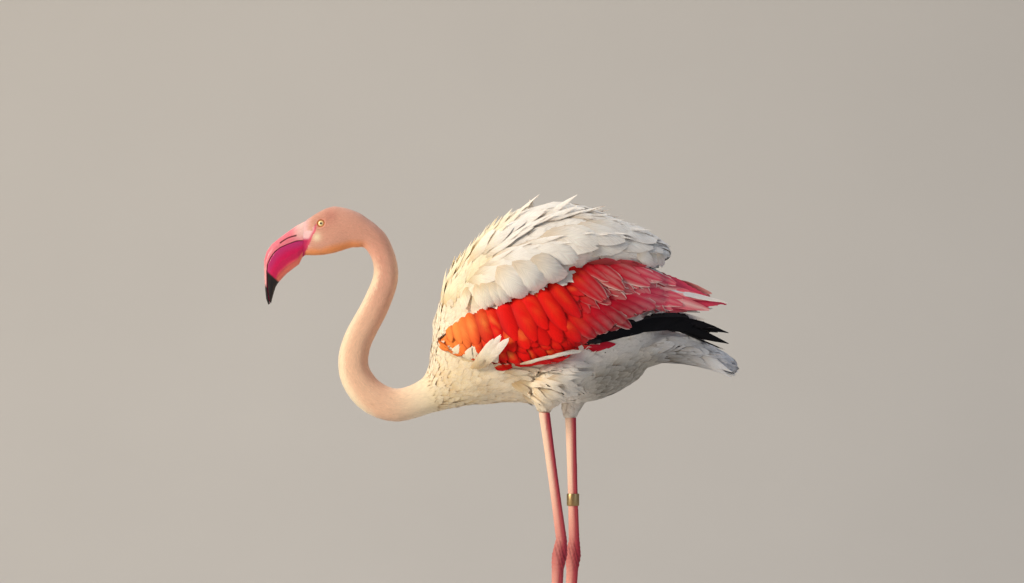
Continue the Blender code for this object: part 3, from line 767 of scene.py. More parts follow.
@dataclass
class Blades:
    """Feathers as closed rings of points along each.

    Attributes:
        points: (feathers, stations, around, 3).
        normals: The shading's direction over the upper face, likewise.
        tints: Linear colours, likewise.
        grain: Places on the vane in centimetres, (feathers, stations, around, 2).
        roots: Each feather's place on the skin's unwrap, (feathers, 2).
    """

    points: Array
    normals: Array
    tints: Array
    grain: Array
    roots: Array

    def corners(self, start: int) -> tuple[Array, Array, Array]:
        """Joins the rings with faces.

        Args:
            start: The number of the first point.

        Returns:
            The faces' corners in one row, 1 for each on an upper face and -1 on a lower one, and
            the number of corners of each face.
        """
        count, stations, around = self.points.shape[:3]
        ring = np.arange(around)
        first = np.arange(stations - 1)[:, None] * around
        here, there = first + ring, first + (ring + 1) % around
        quads = np.stack((here, here + around, there + around, there), axis=2).reshape(-1)
        upper = np.arange(around // 2)
        lower = (around - np.arange(around // 2 + 1)) % around
        ends = np.stack((upper, upper + 1, lower[1:], lower[:-1]), axis=1)
        tips = ends[:, ::-1] + (stations - 1) * around
        middle = np.concatenate((ends[1:-1], tips[1:-1])).reshape(-1)
        corner = np.array((ends[0, :3], ends[-1, [0, 1, 3]], tips[0, 1:], tips[-1, [0, 2, 3]])).reshape(-1)
        offsets = start + np.arange(count)[:, None] * stations * around
        corners = np.concatenate([(part + offsets).ravel() for part in (quads, middle, corner)])
        fours = (len(quads) + len(middle)) // 4 * count
        sizes = np.concatenate((np.full(fours, 4), np.full(4 * count, 3)))
        facing = np.where(ring < around // 2, 1.0, -1.0)
        facing = np.broadcast_to(facing[None, :, None], (stations - 1, around, 4)).reshape(-1)
        ends = np.ones((len(middle) + len(corner)) * count)
        return corners, np.concatenate((np.tile(facing, count), ends)), sizes

    def bake_places(self) -> Array:
        """Lays each feather on the bake map.

        Returns:
            Each point's place on it, in a small patch at its feather's root.
        """
        stations, around = self.points.shape[1:3]
        along = np.linspace(-0.5, 0.5, stations)[:, None]
        turn = np.arange(around) / around * 2 * math.pi
        across = np.broadcast_to(np.cos(turn) * 0.5, (stations, around))
        patch = np.stack((across, np.broadcast_to(along, (stations, around))), axis=2)
        return np.clip(self.roots[:, None, None, :] + patch[None] * BAKE_PATCH, 0.0, 1.0)


def in_rows(arrays: list[Array]) -> Array:
    """Joins arrays whose last axes are alike into rows."""
    return np.concatenate([array.reshape(-1, array.shape[-1]) for array in arrays])


def feather_piece(name: str, groups: list[Blades]) -> Object:
    """Builds groups of feathers as one mesh.

    Args:
        name: The object's name.
        groups: The feathers.

    Returns:
        The object.
    """
    corners, facing, sizes, start = [], [], [], 0
    for group in groups:
        found, upward, lengths = group.corners(start)
        corners.append(found)
        facing.append(upward)
        sizes.append(lengths)
        start += group.points[..., 0].size
    rows = {
        key: in_rows([getattr(group, key) for group in groups])
        for key in ("points", "normals", "tints", "grain")
    }
    bake = in_rows([group.bake_places() for group in groups])
    corners = np.concatenate(corners).astype(np.int32)
    sizes = np.concatenate(sizes).astype(np.int32)
    mesh = bpy.data.meshes.new(name)
    mesh.vertices.add(start)
    mesh.vertices.foreach_set("co", rows["points"].astype(np.float32).ravel())
    mesh.loops.add(len(corners))
    mesh.loops.foreach_set("vertex_index", corners)
    mesh.polygons.add(len(sizes))
    starts = np.concatenate(([0], np.cumsum(sizes)[:-1])).astype(np.int32)
    mesh.polygons.foreach_set("loop_start", starts)
    mesh.polygons.foreach_set("loop_total", sizes)
    mesh.update(calc_edges=True)
    set_tints(mesh, rows["tints"])
    for label, places in ((BAKE_MAP, bake), (VANE_MAP, rows["grain"])):
        layer = mesh.uv_layers.new(name=label)
        layer.data.foreach_set("uv", places[corners].astype(np.float32).ravel())
    mesh.uv_layers.active = mesh.uv_layers[BAKE_MAP]
    mesh.shade_smooth()
    shading = rows["normals"][corners] * np.concatenate(facing)[:, None]
    mesh.normals_split_custom_set(shading.tolist())
    return new_object(name, mesh)


@dataclass
class Coat:
    """Grows feathers on a surface along the way that they lie.

    Attributes:
        surface: The surface.
        unwrap: Its faces' corners on the bake map, (faces, 4, 2).
        chance: What is left to chance, in a fixed order.
    """

    surface: Surface
    unwrap: Array
    chance: np.random.Generator = field(default_factory=lambda: np.random.default_rng(7))

    def roots(self, mask: Array, spacing: float) -> Array:
        """Scatters roots evenly over part of the surface.

        Args:
            mask: The share of each point that grows feathers, 0 to 1.
            spacing: The least distance between two roots.

        Returns:
            Places on the surface, one to a row.
        """
        surface = self.surface
        share = mask[surface.faces].mean(1)
        expect = surface.areas * share / spacing**2 * 2.2
        counts = np.floor(expect + self.chance.random(len(expect))).astype(int)
        chosen = np.repeat(np.arange(len(counts)), counts)
        self.chance.shuffle(chosen)
        u, v = self.chance.random((2, len(chosen)))
        a, b, c, d = (surface.points[surface.faces[chosen, k]] for k in range(4))
        u, v = u[:, None], v[:, None]
        places = a * (1 - u) * (1 - v) + b * u * (1 - v) + c * u * v + d * (1 - u) * v
        taken: dict[tuple[int, int, int], list[tuple[float, float, float]]] = {}
        kept = []
        least = (spacing * 0.85) ** 2
        cells = np.floor(places / spacing).astype(int).tolist()
        rows = places.tolist()
        near = [(i, j, k) for i in (-1, 0, 1) for j in (-1, 0, 1) for k in (-1, 0, 1)]
        for index, ((i, j, k), (x, y, z)) in enumerate(zip(cells, rows)):
            crowded = any(
                (x - p) ** 2 + (y - q) ** 2 + (z - r) ** 2 < least
                for di, dj, dk in near
                for p, q, r in taken.get((i + di, j + dj, k + dk), ())
            )
            if not crowded:
                taken.setdefault((i, j, k), []).append((x, y, z))
                kept.append(index)
        return places[kept]

    def track(self, places: Array, lengths: Array, cut: Cut,
              headings: Array | None = None, turn: Array | float = 0.0) -> Track:
        """Runs a line from each root over the surface.

        Args:
            places: The roots.
            lengths: How long each line is.
            cut: How the feathers are cut.
            headings: The way each line sets out, or None for the way the coat lies there.
            turn: An angle that turns each line from the coat's lie.

        Returns:
            The lines.
        """
        surface = self.surface
        held = headings is not None
        count = len(places)
        angle = turn + self.chance.normal(0.0, cut.ruffle, count)
        shares = 1.0 - (1.0 - np.linspace(0.0, 1.0, cut.stations)) ** 1.35
        place, heading, out = places, None, None
        lines, outs, ways = [], [], []
        for index, share in enumerate(shares):
            on_body = index == 0 or share <= cut.free
            if on_body:
                place, hit = surface.snap(place)
                out = unit(surface.at(surface.normals, hit, place))
                faces = hit if index == 0 else faces
            if held:
                heading = self.climbing(headings, out, cut.ridge) if on_body else headings
            elif on_body:
                lie = unit(surface.at(surface.lie, hit, place))
                beside = np.cross(out, lie)
                drift = lie * np.cos(angle)[:, None] + beside * np.sin(angle)[:, None]
                heading = drift if heading is None else heading * 0.6 + drift * 0.4
                heading = unit(heading - out * (heading * out).sum(1, keepdims=True))
                angle = angle * 0.8
            lines.append(place)
            outs.append(out)
            ways.append(unit(heading))
            if index + 1 < len(shares):
                place = place + heading * (lengths * (shares[index + 1] - share))[:, None]
        stacked = (np.stack(rows, axis=1) for rows in (lines, outs, ways))
        return Track(*stacked, shares, faces)

    def climbing(self, headings: Array, out: Array, ridge: float) -> Array:
        """Headings seen from the side, with what they need across to stay on the surface.

        Args:
            headings: The headings, level across.
            out: The surface's direction out under each.
            ridge: How far they turn to lie back along the top of the back, 0 to 1.

        Returns:
            The ways that the feathers take.
        """
        flank = np.where(np.abs(out[:, 1]) < 0.35, np.copysign(0.35, out[:, 1]), out[:, 1])
        across = np.clip(-(headings * out).sum(1) / flank, -1.2, 1.2)
        rising = headings + across[:, None] * np.array((0.0, 1.0, 0.0))
        level = unit(np.stack((np.maximum(out[:, 2], 0.1), np.zeros(len(out)), -out[:, 0]), axis=1))
        return blend(rising, level, ramp(0.62, 0.30, np.abs(out[:, 1])) * ridge)

    def blades(self, track: Track, sizes: Array, cut: Cut, tint: Callable,
               offset: float = 0.0) -> Blades:
        """Cuts a feather around each line.

        Args:
            track: The lines.
            sizes: A width factor for each.
            cut: How they are cut.
            tint: Gives linear colours from places, shares along and places across.
            offset: How much higher they lie than others of the kind.

        Returns:
            The feathers.
        """
        chance = self.chance
        count, stations = track.paths.shape[:2]
        share = track.shares
        top = np.linspace(-1.0, 1.0, cut.columns)
        top = np.sign(top) * (1.0 - (1.0 - np.abs(top)) ** 1.8)
        across = np.concatenate((top, top[-2:0:-1]))
        upper = np.concatenate((np.ones(cut.columns), -np.ones(cut.columns - 2)))
        upper[[0, cut.columns - 1]] = 0.0
        dome = 1.0 - across**2

        rough = chance.normal(0.0, 0.18, (count, 1)) * (cut.lift + cut.depth * 0.2)
        ride = -cut.depth * (1 - share) ** 1.6 + (cut.lift + rough) * share**1.5 + offset
        path = track.paths + track.outs * ride[..., None]
        side = np.cross(track.outs, track.ways)
        roll = chance.normal(0.0, 0.07, (count, 1, 1))
        side = unit(side + track.outs * roll)
        up = unit(np.cross(track.ways, side))
        shoulder = np.minimum(1.0, 0.45 + share * 2.0)
        tip = (1.0 - np.clip((share - 0.5) / 0.5, 0.0, 1.0) ** 2) ** cut.blunt
        broad = sizes * chance.uniform(0.88, 1.12, count)
        width = np.maximum(shoulder * tip, cut.end) * cut.half * broad[:, None]
        cup = cut.cup * width[..., None] * dome * (1 - 0.4 * share**4)[:, None]
        shell = cut.thickness * 0.5 * upper * (0.35 + 0.65 * dome) * np.maximum(1 - share, 0.25)[:, None]
        ragged = 1.0 + chance.normal(0.0, 1.0, (count, stations, len(across))) * np.abs(across) ** 8 * 0.05
        points = (
            path[:, :, None, :]
            + side[:, :, None, :] * (width[..., None] * across * ragged)[..., None]
            + up[:, :, None, :] * (cup + shell)[..., None]
        )
        ends = chance.normal(0.0, 1.0, (count, cut.columns)) * cut.fray
        ends = np.concatenate((ends, ends[:, -2:0:-1]), axis=1)
        points += track.ways[:, :, None, :] * (ends[:, None, :] * share[None, :, None] ** 5)[..., None]
        slope = side[:, :, None, :] * (2.0 * cut.cup * across)[:, None] + up[:, :, None, :]
        normals = unit(unit(slope) * (1.0 - cut.soft) + track.outs[:, :, None, :] * cut.soft)

        tints = tint(points, np.broadcast_to(share[None, :, None], points.shape[:3]),
                     np.broadcast_to(across, points.shape[:3]))
        tone = 1 + chance.normal(0.0, cut.shade, (count, 1, 1, 1))
        shift = chance.uniform(0.0, 40.0, (count, 1, 1))
        reach = np.linalg.norm(np.diff(track.paths, axis=1), axis=2).sum(1)
        grain = np.stack(
            (
                width[..., None] * across * 100.0,
                np.broadcast_to((reach[:, None] * share)[..., None] * 100.0 + shift, points.shape[:3]),
            ),
            axis=3,
        )
        return Blades(points, normals, tints * tone, grain, self.unwrap[track.faces].mean(1))

    def grow(self, places: Array, cut: Cut, tint: Callable, sizes: Array | None = None,
             turn: Array | float = 0.0) -> Blades:
        """Grows one feather from each place, along the coat's lie.

        Args:
            places: The roots.
            cut: How they are cut.
            tint: Their colours.
            sizes: A size factor for each, or None.
            turn: An angle from the lie.

        Returns:
            The feathers.
        """
        sizes = np.ones(len(places)) if sizes is None else sizes
        lengths = cut.length * sizes * self.chance.uniform(0.86, 1.12, len(places))
        return self.blades(self.track(places, lengths, cut, turn=turn), sizes, cut, tint)

    def row(self, row: Row, side: float, tint: Callable) -> Blades:
        """Lays a row of feathers on one side of the bird.

        Args:
            row: Where and how they lie.
            side: -1 for the left, 1 for the right.
            tint: Their colours.

        Returns:
            The feathers.
        """
        low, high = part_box(row.node)
        along = np.arange(row.count) + self.chance.uniform(-0.25, 0.25, row.count) * row.loose
        along = along / max(row.count - 1, 1)
        fx, fz = (row.spread([root[k] for root in row.roots], along, 100) for k in (0, 1))
        x = low.x + fx * (high.x - low.x)
        z = low.z + fz * (high.z - low.z)
        places = np.array([self.on_side(a, b, side) for a, b in zip(x, z)])
        astray = self.chance.normal(0.0, row.cut.ruffle * row.loose, row.count)
        angle = np.radians(row.spread(row.headings, along)) + astray
        headings = np.stack((np.cos(angle), np.zeros(row.count), np.sin(angle)), axis=1)
        uneven = self.chance.uniform(-0.08, 0.08, row.count) * row.loose
        lengths = row.spread(row.lengths, along, 1000) * (1.0 + uneven)
        sizes = row.spread(row.halves, along, 1000) / row.cut.half
        calm = replace(row.cut, ruffle=0.0)
        track = self.track(places, lengths, calm, headings=headings)
        return self.blades(track, sizes, row.cut, tint, row.offset / 1000)

    def on_side(self, x: float, z: float, side: float) -> tuple[float, float, float]:
        """Finds a root's place.

        Args:
            x: How far along it is.
            z: How high up it is.
            side: -1 for the left, 1 for the right.

        Returns:
            The surface's outermost place there, or its nearest place.
        """
        far = Vector((x, side * 0.3, z))
        hit = self.surface.tree.ray_cast(far, Vector((0.0, -side, 0.0)))[0]
        if hit is None or hit.y * side < 0:
            hit = self.surface.tree.find_nearest(Vector((x, side * 0.03, z)))[0]
        return tuple(hit)


@dataclass(frozen=True)
class Row:
    """A row of feathers over one side.

    Attributes:
        node: The CAD node in whose box the roots are given.
        roots: Places along the row, in hundredths of the box along and up.
        headings: Degrees above the level, from the row's first feather to its last.
        count: The number of feathers.
        lengths: Their lengths in millimetres, first to last.
        halves: Half their widths in millimetres, first to last.
        cut: How they are cut.
        offset: How much higher this row lies, in millimetres.
        loose: How far chance moves each feather, 1 for as far as its kind goes.
    """

    node: str
    roots: tuple[tuple[float, float], ...]
    headings: tuple[float, ...]
    count: int
    lengths: tuple[float, ...]
    halves: tuple[float, ...]
    cut: Cut
    offset: float = 0.0
    loose: float = 1.0

    def spread(self, values: Sequence[float], along: Array, parts: int = 1) -> Array:
        """Reads values, given in so many parts of one, at shares along the row."""
        return np.interp(along, np.linspace(0.0, 1.0, len(values)), np.array(values) / parts)


# ---- markings and painted light


class Region(Enum):
    """The parts of the coat, each by the CAD nodes whose surface it covers."""

    BILL = ("bill_upper", "bill_lower")
    HEAD = ("head",)
    NECK = ("neck_1", "neck_2", "neck_3", "neck_4", "neck_5")
    TRUNK = ("trunk", "thigh_left", "thigh_right")
    MANTLE = ("mantle",)
    SCAPULARS = ("scapulars_left", "scapulars_right")
    COVERTS = ("wing_coverts_left", "wing_coverts_right")
    TERTIALS = ("tertials_left", "tertials_right")
    PRIMARIES = ("primaries_left", "primaries_right")
    TAIL = ("tail",)


def spot(places: Array, centre: tuple[float, float], radius: float) -> Array:
    """A soft round share about an x and z, for places in rows."""
    gap = np.hypot(places[..., 0] - centre[0], places[..., 2] - centre[1])
    return np.exp(-((gap / radius) ** 2))


class MarkingsAndPaintedLight:
    """The colours of skin and coat over the bird, by place, with the light and shade that are painted into
    them.
    """

    BLUSH = linear(220, 156, 136)
    # Darker blush, also used as the painted shade on the nape.
    DEEP_BLUSH_AND_SHADE = linear(192, 116, 104)
    CREAM = linear(244, 200, 168)
    # Warm orange under the throat: partly its own tint, partly painted bounce light.
    THROAT_ORANGE_AND_BOUNCE = linear(248, 146, 62)
    BREAST = linear(252, 236, 204)
    WHITE = linear(250, 242, 232)
    # Cool grey: the pale tertials' colour and the painted shade over the rear and tail.
    GREY_AND_COOL_SHADE = linear(204, 206, 214)
    # Painted shade between the breast's feather clumps.
    TAN_FOLD_SHADE = linear(222, 178, 132)
    # Painted shade under the rear body and tail, over a greyer vent.
    VENT_GREY_AND_SHADE = linear(97, 90, 78)
    STAIN = linear(246, 212, 146)
    MANTLE = linear(252, 236, 196)
    RED = linear(226, 14, 8)
    # Painted shade along the coverts' edges.
    DEEP_RED_EDGE_SHADE = linear(150, 2, 10)
    # Orange of the front coverts, also the painted highlight on the lobes.
    ORANGE = linear(255, 156, 72)
    CRIMSON = linear(190, 8, 38)
    ROSE = linear(228, 70, 104)
    # Reddish brown: partly the feathers' own colour, partly painted shade under the scapulars.
    RED_BROWN_AND_SHADE = linear(158, 66, 62)
    BLACK = linear(8, 7, 10)
    PALE_SKIN = linear(240, 196, 200)
    PINK_SKIN = linear(226, 84, 112)
    DEEP_SKIN = linear(196, 26, 92)
    LEG = linear(222, 92, 96)
    # Painted highlight on the legs' forward faces.
    LEG_LIT_HIGHLIGHT = linear(255, 220, 196)
    # Deep leg red: the joints, and the painted shade on the rear faces.
    LEG_DEEP_AND_SHADE = linear(168, 24, 62)
    # Painted shade in the hock's folds.
    CREASE_SHADE = linear(96, 8, 26)

    # The regions that the skin shows through in their own colours.
    WING = (Region.COVERTS, Region.TERTIALS, Region.PRIMARIES)

    # The bare skin's rear rim, up and along from the eye.
    RIM_UP = (-0.030, -0.021, -0.010, -0.002)
    RIM_ALONG = (-0.0161, -0.0126, -0.0067, -0.005)

    def __init__(self) -> None:
        """Reads the places that the colours hang on from the CAD parts."""
        low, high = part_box("eye_left")
        self.eye = np.array((low + high) / 2)
        self.bill_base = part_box("bill_upper")[1].x
        self.neck_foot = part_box("neck_5")[1].x
        self.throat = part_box("head")[0].z
        self.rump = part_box("tail")[1].x

    def from_eye(self, places: Array) -> Array:
        """Each place's distance from the eye, seen from the side."""
        return np.linalg.norm(places[:, [0, 2]] - self.eye[[0, 2]], axis=1)

    def body(self, places: Array, front: Array | float = 0.0) -> Array:
        """The colour of head, neck, breast, belly and back, with painted light and shade in it.

        Args:
            places: Points.
            front: How far each faces forward, -1 to 1; it paints the forward foreneck lighter and the nape
                darker.

        Returns:
            Linear colours.
        """
        x, z = places[..., 0], places[..., 2]
        dx = x - self.eye[0]
        colour = blend(self.BLUSH, self.CREAM, ramp(self.throat, self.throat - 0.14, z) * 0.85)
        # The forward-facing foreneck goes pale: partly its own colour, partly a painted highlight.
        throat = ramp(0.25, 0.8, front) * ramp(self.throat + 0.01, self.throat - 0.04, z) * np.ones(x.shape)
        colour = blend(colour, self.BREAST, throat * 0.85)
        # Painted shade: the rear-facing nape is darkened.
        nape_shade = ramp(-0.1, -0.8, front) * ramp(self.throat + 0.02, self.throat - 0.06, z) * np.ones(x.shape)
        colour = blend(colour, self.DEEP_BLUSH_AND_SHADE, nape_shade * 0.35)
        temple = spot(places, (self.eye[0] + 0.013, self.eye[2] + 0.011), 0.010)
        cheek = spot(places, (self.eye[0] - 0.006, self.eye[2] - 0.019), 0.006)
        colour = blend(colour, self.DEEP_BLUSH_AND_SHADE, temple * 0.7)
        colour = blend(colour, self.BREAST, cheek * 0.8)
        crown = ramp(self.eye[2] + 0.012, self.eye[2] + 0.020, z + dx * 0.45) * ramp(0.0, -0.03, dx)
        colour = blend(colour, self.BREAST, crown * 0.55)
        lore = ramp(self.bill_base + 0.012, self.bill_base + 0.001, x)
        colour = blend(colour, self.PALE_SKIN, lore * 0.75)
        # Under the jaw: warm orange, partly the throat's own tint and partly painted bounce light.
        line = np.interp(dx, (-0.022, 0.0, 0.015, 0.041, 0.064), (-0.044, -0.045, -0.040, -0.034, -0.035))
        under = ramp(line + 0.014, line + 0.003, z - self.eye[2]) * ramp(0.070, 0.050, dx)
        under = under * ramp(self.throat - 0.012, self.throat, z)
        colour = blend(colour, self.THROAT_ORANGE_AND_BOUNCE, under * 0.85)
        foot = self.neck_foot
        colour = blend(colour, self.BREAST, ramp(foot - 0.075, foot + 0.005, x))
        colour = blend(colour, self.WHITE, ramp(foot + 0.03, foot + 0.12, x))
        # Painted shade: tan shading in the folds between the breast's feather clumps.
        folds = ramp(0.2, 0.9, wander(places, 0.016, 1.0))
        folds = folds * ramp(foot - 0.03, foot + 0.02, x) * ramp(0.09, 0.03, x)
        colour = blend(colour, self.TAN_FOLD_SHADE, folds * ramp(self.throat - 0.08, self.throat - 0.15, z) * 0.4)
        stain = ramp(0.63, 0.57, z) * ramp(-0.11, -0.07, x) * ramp(0.11, 0.04, x)
        colour = blend(colour, self.STAIN, stain * 0.55)
        # Painted shade: cool grey towards the rear, away from the key light.
        colour = blend(colour, self.GREY_AND_COOL_SHADE, ramp(0.12, self.rump - 0.03, x) * 0.85)
        # Painted shade under the rear body and tail, over a greyer vent.
        height = z - 0.575 - (x - 0.12) * 0.30
        under = ramp(0.09, 0.15, x) * ramp(0.31, 0.24, x) * ramp(0.036, -0.012, height)
        return blend(colour, self.VENT_GREY_AND_SHADE, under * 0.9)

    def bare(self, places: Array) -> Array:
        """Finds the bare skin between bill and eye.

        Args:
            places: Points.

        Returns:
            The share of bare skin at each.
        """
        dx, dz = places[..., 0] - self.eye[0], places[..., 2] - self.eye[2]
        edge = np.interp(dz, (-0.044, *self.RIM_UP), (-0.023, *self.RIM_ALONG))
        top = np.interp(dx, (-0.034, -0.0225, -0.011, -0.004), (-0.020, -0.0125, -0.0025, -0.001))
        return ramp(edge + 0.0008, edge - 0.0012, dx) * ramp(top + 0.0015, top - 0.001, dz)

    def bare_skin(self, places: Array) -> Array:
        """Colours the bare skin before the eye.

        Args:
            places: Points.

        Returns:
            Linear colours.
        """
        dx, dz = places[..., 0] - self.eye[0], places[..., 2] - self.eye[2]
        colour = blend(self.PALE_SKIN, self.DEEP_SKIN, ramp(-0.019, -0.024, dz))
        rim = np.interp(dz, self.RIM_UP, self.RIM_ALONG)
        return blend(colour, self.PINK_SKIN, ramp(rim - 0.006, rim - 0.002, dx) * 0.9)

    def mantle(self, places: Array) -> Array:
        """The cream of the mantle, going over to the white behind."""
        return blend(self.MANTLE, self.body(places), ramp(-0.02, 0.06, places[..., 0]))

    def coverts(self, places: Array) -> Array:
        """Colours the wing.

        Args:
            places: Points.

        Returns:
            Linear colours.
        """
        x = places[..., 0]
        colour = blend(self.RED, self.CRIMSON, ramp(0.08, 0.15, x))
        colour = blend(colour, self.ORANGE, ramp(-0.01, -0.07, x) * 0.78)
        return blend(colour, self.ROSE, ramp(0.16, 0.23, x) * 0.8)

    def lobes(self, points: Array, share: Array, across: Array) -> Array:
        """The colour of the long coverts: a painted orange highlight along their front halves and painted
        shade in deep red at their edges.

        Args:
            points: Places.
            share: How far along its feather each lies.
            across: How far from the shaft, -1 to 1.

        Returns:
            Linear colours.
        """
        x, edge = points[..., 0], np.abs(across)
        forward = across * np.where(points[..., 1] < 0, 1.0, -1.0)
        # Painted highlight: warm orange on the front half of each convex lobe, where the key light falls.
        bulge_highlight = np.exp(-(((share - 0.50) / 0.22) ** 2) - ((forward - 0.15) / 0.42) ** 2)
        bulge_highlight = bulge_highlight * (ramp(0.17, 0.12, x) * ramp(0.13, 0.02, x) ** 0.5)
        bulge_highlight = bulge_highlight * ramp(-0.9, 0.7, wander(points[:, :1, :1, :], 0.012, 2.0))
        bulge_highlight = bulge_highlight * ramp(-0.9, 0.5, wander(points, 0.004, 4.0))
        colour = blend(self.coverts(points), self.ORANGE, bulge_highlight * 0.8)
        # Painted shade: deep red along each lobe's edges.
        colour = blend(colour, self.DEEP_RED_EDGE_SHADE, edge**4 * ramp(0.14, 0.10, x) * 0.7)
        pale = ramp(0.10, 0.17, x) * (edge**8 * 0.85 + (1 - edge) ** 6 * 0.2)
        return blend(colour, self.WHITE, pale * ramp(0.2, 0.7, share))

    def flight(self, places: Array) -> Array:
        """The black of the flight feathers."""
        return blend(self.BLACK, self.BLACK * 2.2, np.clip(wander(places, 0.01), 0, 1))

    def leg(self, places: Array, front: Array) -> Array:
        """The colour of the bare legs, with a painted highlight on their forward faces and painted shade on
        their rear faces.

        Args:
            places: Points.
            front: How far each faces forward, -1 to 1.

        Returns:
            Linear colours.
        """
        z = places[..., 2]
        # Painted highlight on forward faces and painted shade on rear faces.
        colour = blend(self.LEG, self.LEG_LIT_HIGHLIGHT, ramp(-0.40, 0.25, front) * 0.92)
        colour = blend(colour, self.LEG_DEEP_AND_SHADE, ramp(-0.25, -0.75, front) * 0.9)
        low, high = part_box("hock_left")
        # Less of the painted highlight down towards the hock.
        colour = blend(colour, self.LEG, ramp(high.z + 0.11, high.z + 0.01, z) * 0.5)
        joint = np.exp(-(((z - (low.z + high.z) / 2) / 0.030) ** 2))
        colour = blend(colour, self.LEG_DEEP_AND_SHADE, joint * 0.55)
        return blend(colour, self.LEG_DEEP_AND_SHADE, ramp(0.05, 0.015, z) * 0.4)


# ---- the skin


SKIN = Finish("bird_skin", roughness=0.5, specular=0.35, subsurface=0.12, scales=620.0, relief=0.00018)
DOWN = Finish("short_down", roughness=0.8, specular=0.15, sheen=0.35, subsurface=0.1, mottle=0.05)
PLUMAGE = Finish("soft_plumage", roughness=0.8, specular=0.12, sheen=0.2, subsurface=0.15, mottle=0.04,
                 barbs=0.24)
SATIN = Finish("satin_plumage", roughness=0.6, specular=0.14, sheen=0.03, mottle=0.06, barbs=0.16)
JET = Finish("flight_vane", roughness=0.5, specular=0.12, mottle=0.05, barbs=0.10)


@dataclass
class Skin:
    """The bird's one skin: the flesh nodes melted together, drawn in by the coat's depth.

    Attributes:
        voxel: The size of its squares over the body.
        leg_voxel: The size of its squares over the legs.
        overlap: How far the nodes swell before they melt together, which is taken off again.
        puff: How far the loose coat swells and sinks over the body.
        spike: Parts of the loose coat thinner than this melt away, and free plumes stand for them.
        melts: How often the loose coat gives way, and then its thin parts.
        saddle: Mounds over the rump: each one's place along and up the trunk, reach, half width and rise.
        lid_half: Half the width of the opening between the lids.
        lid_rim: How thick a lid's rim is.
    """

    voxel: float = 0.003
    leg_voxel: float = 0.0018
    overlap: float = 0.0008
    puff: float = 0.0014
    spike: float = 0.0056
    melts: tuple[int, int] = (48, 260)
    saddle: tuple[tuple[float, float, float, float, float], ...] = (
        (0.498, 0.867, 0.050, 0.042, 0.033),
        (0.676, 0.817, 0.050, 0.042, 0.035),
        (0.825, 0.741, 0.048, 0.034, 0.033),
        (0.929, 0.655, 0.036, 0.029, 0.026),
        (1.000, 0.600, 0.028, 0.022, 0.018),
    )
    lid_half: float = 0.0050
    lid_rim: float = 0.0007

    # The coat's depth over each region.
    DEPTHS = {
        Region.BILL: 0.0016, Region.HEAD: 0.0006, Region.NECK: 0.0011, Region.TRUNK: 0.0045,
        Region.MANTLE: 0.005, Region.SCAPULARS: 0.006, Region.COVERTS: 0.0045,
        Region.TERTIALS: 0.0015, Region.PRIMARIES: 0.001, Region.TAIL: 0.004,
    }
    LID = linear(196, 112, 58)
    LEG_PARTS = ("tibia", "hock", "tarsus", "foot")

    def build_form(self) -> tuple[Object, Surface, dict[Region, Array]]:
        """Melts the body's nodes into the outer form that the coat lies on.

        Returns:
            The object, its surface, and each region's share at each point.
        """
        nodes = [node for region in Region for node in region.value]
        piece = merged_copy("skin", nodes, self.overlap)
        self.fill_back(piece)
        remeshed(piece, self.voxel)
        keep_largest(piece)
        form = Surface(piece.data)
        regions = self.label(form)
        loose = regions[Region.MANTLE] + regions[Region.SCAPULARS]
        form.melt(np.clip(loose * 1.5, 0.0, 1.0), self.melts[0])
        form.update()
        tips = regions[Region.PRIMARIES] * ramp(0.270, 0.285, form.points[:, 0])
        spikes = form.relaxed(form.thin(loose + tips, self.spike), 12)
        form.melt(np.clip(spikes * 8.0 - 0.4, 0.0, 1.0), self.melts[1])
        form.smooth(7)
        for region in (Region.MANTLE, Region.SCAPULARS):
            regions[region] = regions[region] * (spikes < 0.08)
        stretched = form.points * np.array((0.55, 1.0, 1.0))
        puffs = wander(stretched, 0.020, 3.0) * self.puff * np.clip(regions[Region.TRUNK] + loose, 0.0, 1.0)
        form.points += form.normals * (form.relaxed(puffs, 6) - self.overlap)[:, None]
        form.update()
        self.comb(form, regions)
        return piece, form, regions

    def fill_back(self, piece: Object) -> None:
        """Fills the hollow over the rump between the folded wings, so that the coat closes over it.

        Args:
            piece: The form before it is melted together.
        """
        low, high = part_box("trunk")
        bpy.ops.object.select_all(action="DESELECT")
        for along, up, reach, half, rise in self.saddle:
            place = (low.x + along * (high.x - low.x), 0.0, low.z + up * (high.z - low.z))
            bpy.ops.mesh.primitive_uv_sphere_add(segments=24, ring_count=16, radius=1.0, location=place)
            bpy.context.object.scale = (reach, half, rise)
            bpy.ops.object.transform_apply(location=True, rotation=True, scale=True)
            pick(piece, bpy.context.object)
            bpy.ops.object.join()

    def label(self, form: Surface) -> dict[Region, Array]:
        """Shares the form out among the regions, by the nearest CAD node.

        Args:
            form: The form's surface.

        Returns:
            How far each point belongs to each region.
        """
        corners, faces, owners = [], [], []
        for region in Region:
            for node in region.value:
                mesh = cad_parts[node].data
                start = sum(len(rows) for rows in corners)
                corners.append(points_of(mesh))
                rows = [[v + start for v in poly.vertices] for poly in mesh.polygons]
                faces += rows
                owners += [region] * len(rows)
        tree = BVHTree.FromPolygons(np.concatenate(corners).tolist(), faces)
        nearest = [owners[tree.find_nearest(place)[2]] for place in form.points.tolist()]
        wing = MarkingsAndPaintedLight.WING
        between = np.abs(form.points[:, 1]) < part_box("tertials_right")[0].y - 0.002
        between &= form.points[:, 0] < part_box("trunk")[1].x + 0.030
        nearest = [
            Region.SCAPULARS if inner and one in wing else one for one, inner in zip(nearest, between)
        ]
        shares = {}
        for region in Region:
            sharp = np.array([one is region for one in nearest], float)
            shares[region] = form.relaxed(sharp, 2)
            shares[region][shares[region] < 0.35] = 0.0
        return shares

